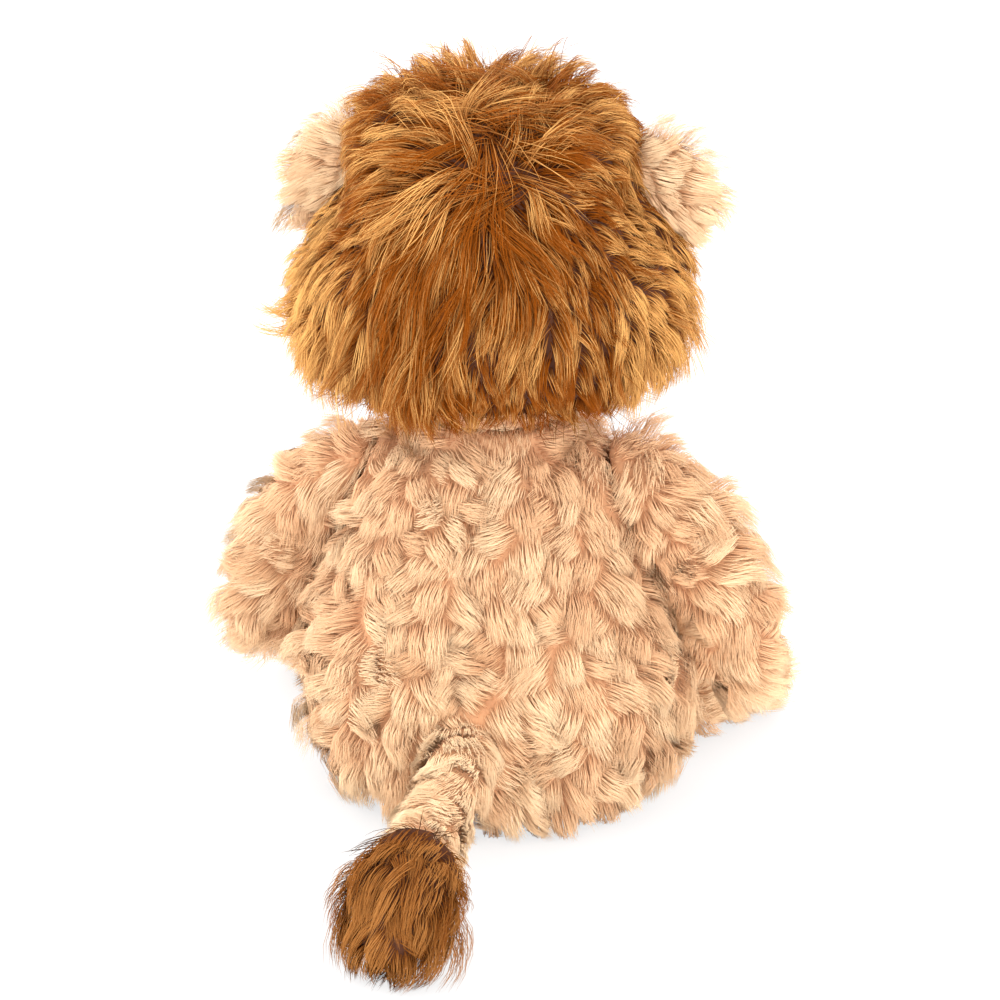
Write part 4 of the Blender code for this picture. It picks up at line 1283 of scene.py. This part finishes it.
class LION_OT_face(bpy.types.Operator):
    """Grow the pile of the face and the neck, and make the muzzle, the nose and the mouth"""

    bl_idname = "lion.face"
    bl_label = "Face"

    def execute(self, context):
        muzzle_low, muzzle_high = corners_of("muzzle")
        middle = (muzzle_low + muzzle_high) / 2

        def from_nose(places, normals):
            away = places - (middle + np.array((0.0, 0.0, 6.0 * MM)))
            return unit(away) + UP * (0.2 * ease(places[:, 2], 0.2, 0.23))[:, None]

        def bare(places, normals):
            covered = ease_mm(distance_to(("mane",), places), 5.4, 7.5)
            seats = ease_mm(distance_to(("left_eye", "right_eye"), places), 1.5, 4.0)
            nose = ease_mm(distance_to(("muzzle",), places), 5.2, 6.5)
            return covered * seats * nose

        body_pile(
            "head_pile", "head_skin", from_nose, 780e3, bare, seed=51,
            Spacing=6.5 * MM, Reach=6.5 * MM, Lift=4.6 * MM, Turn=math.radians(14.0), Least=3.0 * MM,
        )
        muzzle = stuffed_form("muzzle_skin", ("muzzle",), 2.0 * MM, 8)
        free = sink_skin(muzzle, 2.2 * MM, ("head_shell",))
        places, normals = surface_of(muzzle)
        flow = places - np.array((0.0, muzzle_low[1], middle[2] + 4.0 * MM))
        seats = ease_mm(distance_to(("nose",), places), 0.3, 2.0)
        lines = [laid_on(muzzle, line) for line in mouth_lines()]
        seam = np.min([np.linalg.norm(places - spot, axis=1) for line in lines for spot in line], axis=0)
        describe(muzzle, flow, thick=(0.1 + 0.9 * free) * seats * ease_mm(seam, 0.8, 2.2), curl=20.0)
        settle(sewn_mouth(lines), "head", "short_plush")
        grow(
            "muzzle_pile", muzzle, "head", "short_plush", "cream_pile_dye", 2, Density=1500e3, Seed=53,
            Spacing=4.0 * MM, Reach=3.6 * MM, Least=2.0 * MM, Lift=2.3 * MM, Width=0.38 * MM,
            Turn=math.radians(25.0), Frizz=0.6 * MM,
        )
        cover(muzzle, "cream_backing", "head", "short_plush", "muzzle")
        nose = stuffed_form("nose_cushion", ("nose",), 0.9 * MM, 6)
        places = places_of(nose.data)
        describe(nose, places - np.array((0.0, -60.0 * MM, 197.0 * MM)), curl=60.0)
        grow(
            "nose_fuzz", nose, "head", "nose_velour", "nose_fuzz_dye", 2, Density=4200e3, Seed=55,
            Spacing=2.0 * MM, Reach=1.1 * MM, Least=0.7 * MM, Lift=0.6 * MM, Width=0.22 * MM,
            Turn=math.radians(30.0), Frizz=0.2 * MM,
        )
        cover(nose, "nose_velour", "head", "nose_velour", "nose")
        return {"FINISHED"}


def short_pad(name, node, body, flow_from, seed, density):
    """Make a flat pad of short cream pile in place of a node, with its pile."""
    pad = stuffed_form(f"{name}_pad", (node,), 1.1 * MM, 4)
    places = places_of(pad.data)
    sewn_to = node.replace("_lining", "") if body == "head" else body
    free = ease_mm(distance_to((sewn_to,), places), 0.6, 1.8)
    describe(pad, places - flow_from, thick=0.05 + 0.95 * free, curl=20.0)
    grow(
        f"{name}_pile", pad, body, "short_plush", "cream_pile_dye", 2, Density=density, Seed=seed,
        Spacing=4.0 * MM, Reach=3.4 * MM, Least=1.8 * MM, Lift=1.6 * MM, Width=0.38 * MM,
        Turn=math.radians(25.0), Frizz=0.5 * MM,
    )
    cover(pad, "cream_backing", body, "short_plush", node)


class LION_OT_ears(bpy.types.Operator):
    """Make the ears with pile that stands outward from their middles, and their linings"""

    bl_idname = "lion.ears"
    bl_label = "Ears"

    def execute(self, context):
        rims = {"left": (1.0, 1.9), "right": (0.9, 0.2)}
        for index, side in enumerate(SIDES):
            node = f"{side}_ear"
            low, high = corners_of(node)
            middle = (low + high) / 2
            skin = stuffed_form(f"{node}_skin", (node,), 2.2 * MM, 6)
            free = sink_skin(skin, 3.5 * MM, ("head_shell", f"{node}_lining"))
            places, normals = surface_of(skin)
            radius = (high[2] - low[2]) / 2
            inward = -math.copysign(1.0, middle[0])
            fan_from = middle + np.array((inward * 0.6, 0.0, 0.35)) * radius
            away = unit((places - middle) * np.array((1.0, 0.0, 1.0)))
            rim = ease((normals * away).sum(axis=1), 0.35, 0.9)
            front = ease(-normals[:, 1], 0.1, 0.6)
            flow = (places - fan_from) * np.array((1.0, 0.2, 1.0)) + UP * (-0.1 * radius)
            long = (1.0 - 0.45 * rim) * (1.0 - 0.6 * front)
            upper, lower = rims[side]
            stand = upper + (lower - upper) * ease(-away[:, 2], -0.2, 0.7)
            lift = (0.5 + 0.5 * free) * (1.0 + stand * rim) * (1.0 - 0.3 * front)
            describe(skin, flow, thick=0.15 + 0.85 * free, long=long, lift=lift, tone=0.26)
            grow(
                f"{node}_pile", skin, "head", "beige_plush", "body_pile_dye", 2, Density=2300e3,
                Seed=61 + index, Spacing=5.5 * MM, Reach=11.0 * MM, Least=5.0 * MM, Lift=4.6 * MM,
                Width=0.36 * MM, Turn=math.radians(20.0), Frizz=1.2 * MM,
            )
            cover(skin, "body_backing", "head", "beige_plush", node)
            short_pad(f"{node}_lining", f"{node}_lining", "head", middle, 65 + index, 1500e3)
        return {"FINISHED"}


class LION_OT_soles(bpy.types.Operator):
    """Make the short pile pads of the soles"""

    bl_idname = "lion.soles"
    bl_label = "Soles"

    def execute(self, context):
        for index, side in enumerate(SIDES):
            low, high = corners_of(f"{side}_sole")
            short_pad(f"{side}_sole", f"{side}_sole", f"{side}_leg", (low + high) / 2, 71 + index, 1200e3)
        return {"FINISHED"}


def wool_of(node, shell):
    """Return a filling's wool, drawn in from its shell to make room for the depth of the pile."""
    wool = merged(f"{node}_wool", node)
    places, normals = surface_of(wool)
    close = 1.0 - ease_mm(distance_to((shell,), places), 1.0, 4.0)
    places = places - normals * (3.5 * MM * close)[:, None]
    wool.data.vertices.foreach_set("co", places.ravel())
    return wool


class LION_OT_hidden_parts(bpy.types.Operator):
    """Finish the eyes, and the stuffing, the pellet bag and the washers inside"""

    bl_idname = "lion.hidden_parts"
    bl_label = "Eyes and Inner Pieces"

    def execute(self, context):
        for plan in SKINS.values():
            filling = wool_of(plan.inside[0], plan.shell)
            cover(filling, "stuffing_wool", plan.body, "stuffing", plan.inside[0])
        bag = finish("pellet_bag_weave")
        finishes = {"pellet_bag": bag, "washer": moulded_material(), "eye": eye_material()}
        for name, node in frame["nodes"].items():
            for word, material in finishes.items():
                if word in name and not node.hide_render:
                    node.data.materials.clear()
                    node.data.materials.append(material)
                    break
        return {"FINISHED"}


WHITE = (1.0, 1.0, 1.0, 1.0)
LAMP_SIZE = 1.2
LAMPS = {
    "key_behind": ((-1.0, 1.5, 1.5), 1.0),
    "key_front": ((0.9, -1.5, 1.4), 1.0),
    "fill_left": ((1.8, 0.6, 0.9), 0.32),
    "fill_right": ((-1.8, 0.3, 0.9), 0.22),
}
VIEW_TARGET = Vector((0.0, 0.0, 0.1178))
VIEW_WIDTH = 0.382
VIEW_SHIFT = 0.007
SENSOR_WIDTH = 36.0


def add_lamp(name, place, power):
    """Add a square lamp that points at the toy."""
    lamp = bpy.data.lights.new(name, "AREA")
    lamp.size = LAMP_SIZE
    lamp.energy = power
    holder = link(name, lamp)
    holder.location = place
    holder.rotation_euler = (Vector((0.0, 0.0, 0.12)) - holder.location).to_track_quat("-Z", "Y").to_euler()


class LION_OT_stage(bpy.types.Operator):
    """Set the pale floor, the lamps, the sky and the camera"""

    bl_idname = "lion.stage"
    bl_label = "Stage"

    def execute(self, context):
        settings = context.scene.lion_stage
        form = bmesh.new()
        bmesh.ops.create_grid(form, x_segments=1, y_segments=1, size=6.0)
        floor = link("floor", mesh_from("floor", form))
        graph = Finish("floor_white")
        ray = graph.node("ShaderNodeLightPath")
        matt = graph.node("ShaderNodeBsdfDiffuse", None, {"Color": (0.9, 0.9, 0.9, 1.0)})
        glow = graph.node("ShaderNodeEmission", None, {"Color": WHITE, "Strength": 1.0})
        surface = graph.node("ShaderNodeMixShader", None, {0: ray["Is Camera Ray"] * 0.72, 1: matt, 2: glow})
        graph.node("ShaderNodeOutputMaterial", None, {"Surface": surface})
        floor.data.materials.append(graph.material)
        world = bpy.data.worlds.new("sky")
        world.use_nodes = True
        context.scene.world = world
        graph = Graph(world.node_tree)
        ray = graph.node("ShaderNodeLightPath")
        seen = graph.limit(ray["Is Camera Ray"] + ray["Is Glossy Ray"] + ray["Is Transmission Ray"])
        strength = graph.blend(seen, settings.sky, 1.0)
        light = graph.node("ShaderNodeBackground", None, {"Color": WHITE, "Strength": strength})
        graph.node("ShaderNodeOutputWorld", None, {"Surface": light})
        for name, (place, share) in LAMPS.items():
            add_lamp(name, place, settings.key * share)
        turn, rise = settings.azimuth, settings.elevation
        toward = Vector((math.sin(turn) * math.cos(rise), -math.cos(turn) * math.cos(rise), math.sin(rise)))
        lens = bpy.data.cameras.new("camera")
        camera = link("camera", lens)
        camera.location = VIEW_TARGET + toward * settings.distance
        camera.rotation_euler = (-toward).to_track_quat("-Z", "Y").to_euler()
        lens.sensor_width = SENSOR_WIDTH
        lens.lens = SENSOR_WIDTH * settings.distance / VIEW_WIDTH
        lens.shift_x = VIEW_SHIFT
        context.scene.camera = camera
        context.scene.view_settings.view_transform = "Standard"
        return {"FINISHED"}


class LION_PT_dressing(bpy.types.Panel):
    """Lists the toy's pieces in the order in which they are made"""

    bl_idname = "LION_PT_dressing"
    bl_label = "Plush Lion"
    bl_space_type = "VIEW_3D"
    bl_region_type = "UI"
    bl_category = "Plush Lion"

    def draw(self, context):
        for settings in SETTINGS:
            group = getattr(context.scene, settings)
            box = self.layout.box()
            for key in group.bl_rna.properties.keys():
                if key not in ("rna_type", "name"):
                    box.prop(group, key)
        for operator in OPERATORS:
            self.layout.operator(operator.bl_idname)


SETTINGS = {
    "lion_pile": LionPileSettings,
    "lion_mane": LionManeSettings,
    "lion_colours": LionColourSettings,
    "lion_stage": LionStageSettings,
}
OPERATORS = (
    LION_OT_skins,
    LION_OT_body_pile,
    LION_OT_limb_pile,
    LION_OT_tail,
    LION_OT_face,
    LION_OT_ears,
    LION_OT_soles,
    LION_OT_mane,
    LION_OT_hidden_parts,
    LION_OT_stage,
)


def register():
    """Register the classes and hang the settings on the scene."""
    for group in (*SETTINGS.values(), *OPERATORS, LION_PT_dressing):
        bpy.utils.register_class(group)
    for name, group in SETTINGS.items():
        setattr(bpy.types.Scene, name, bpy.props.PointerProperty(type=group))


def unregister():
    """Undo what register does."""
    for name in SETTINGS:
        delattr(bpy.types.Scene, name)
    for group in reversed((*SETTINGS.values(), *OPERATORS, LION_PT_dressing)):
        bpy.utils.unregister_class(group)


def main():
    """Dress the toy piece by piece, and remove the hidden strand forms."""
    register()
    for operator in OPERATORS:
        group, name = operator.bl_idname.split(".")
        getattr(getattr(bpy.ops, group), name)()
    for strand in [thing for thing in bpy.data.objects if thing.name.startswith("strand_")]:
        bpy.data.objects.remove(strand)


if __name__ == "__main__":
    main()
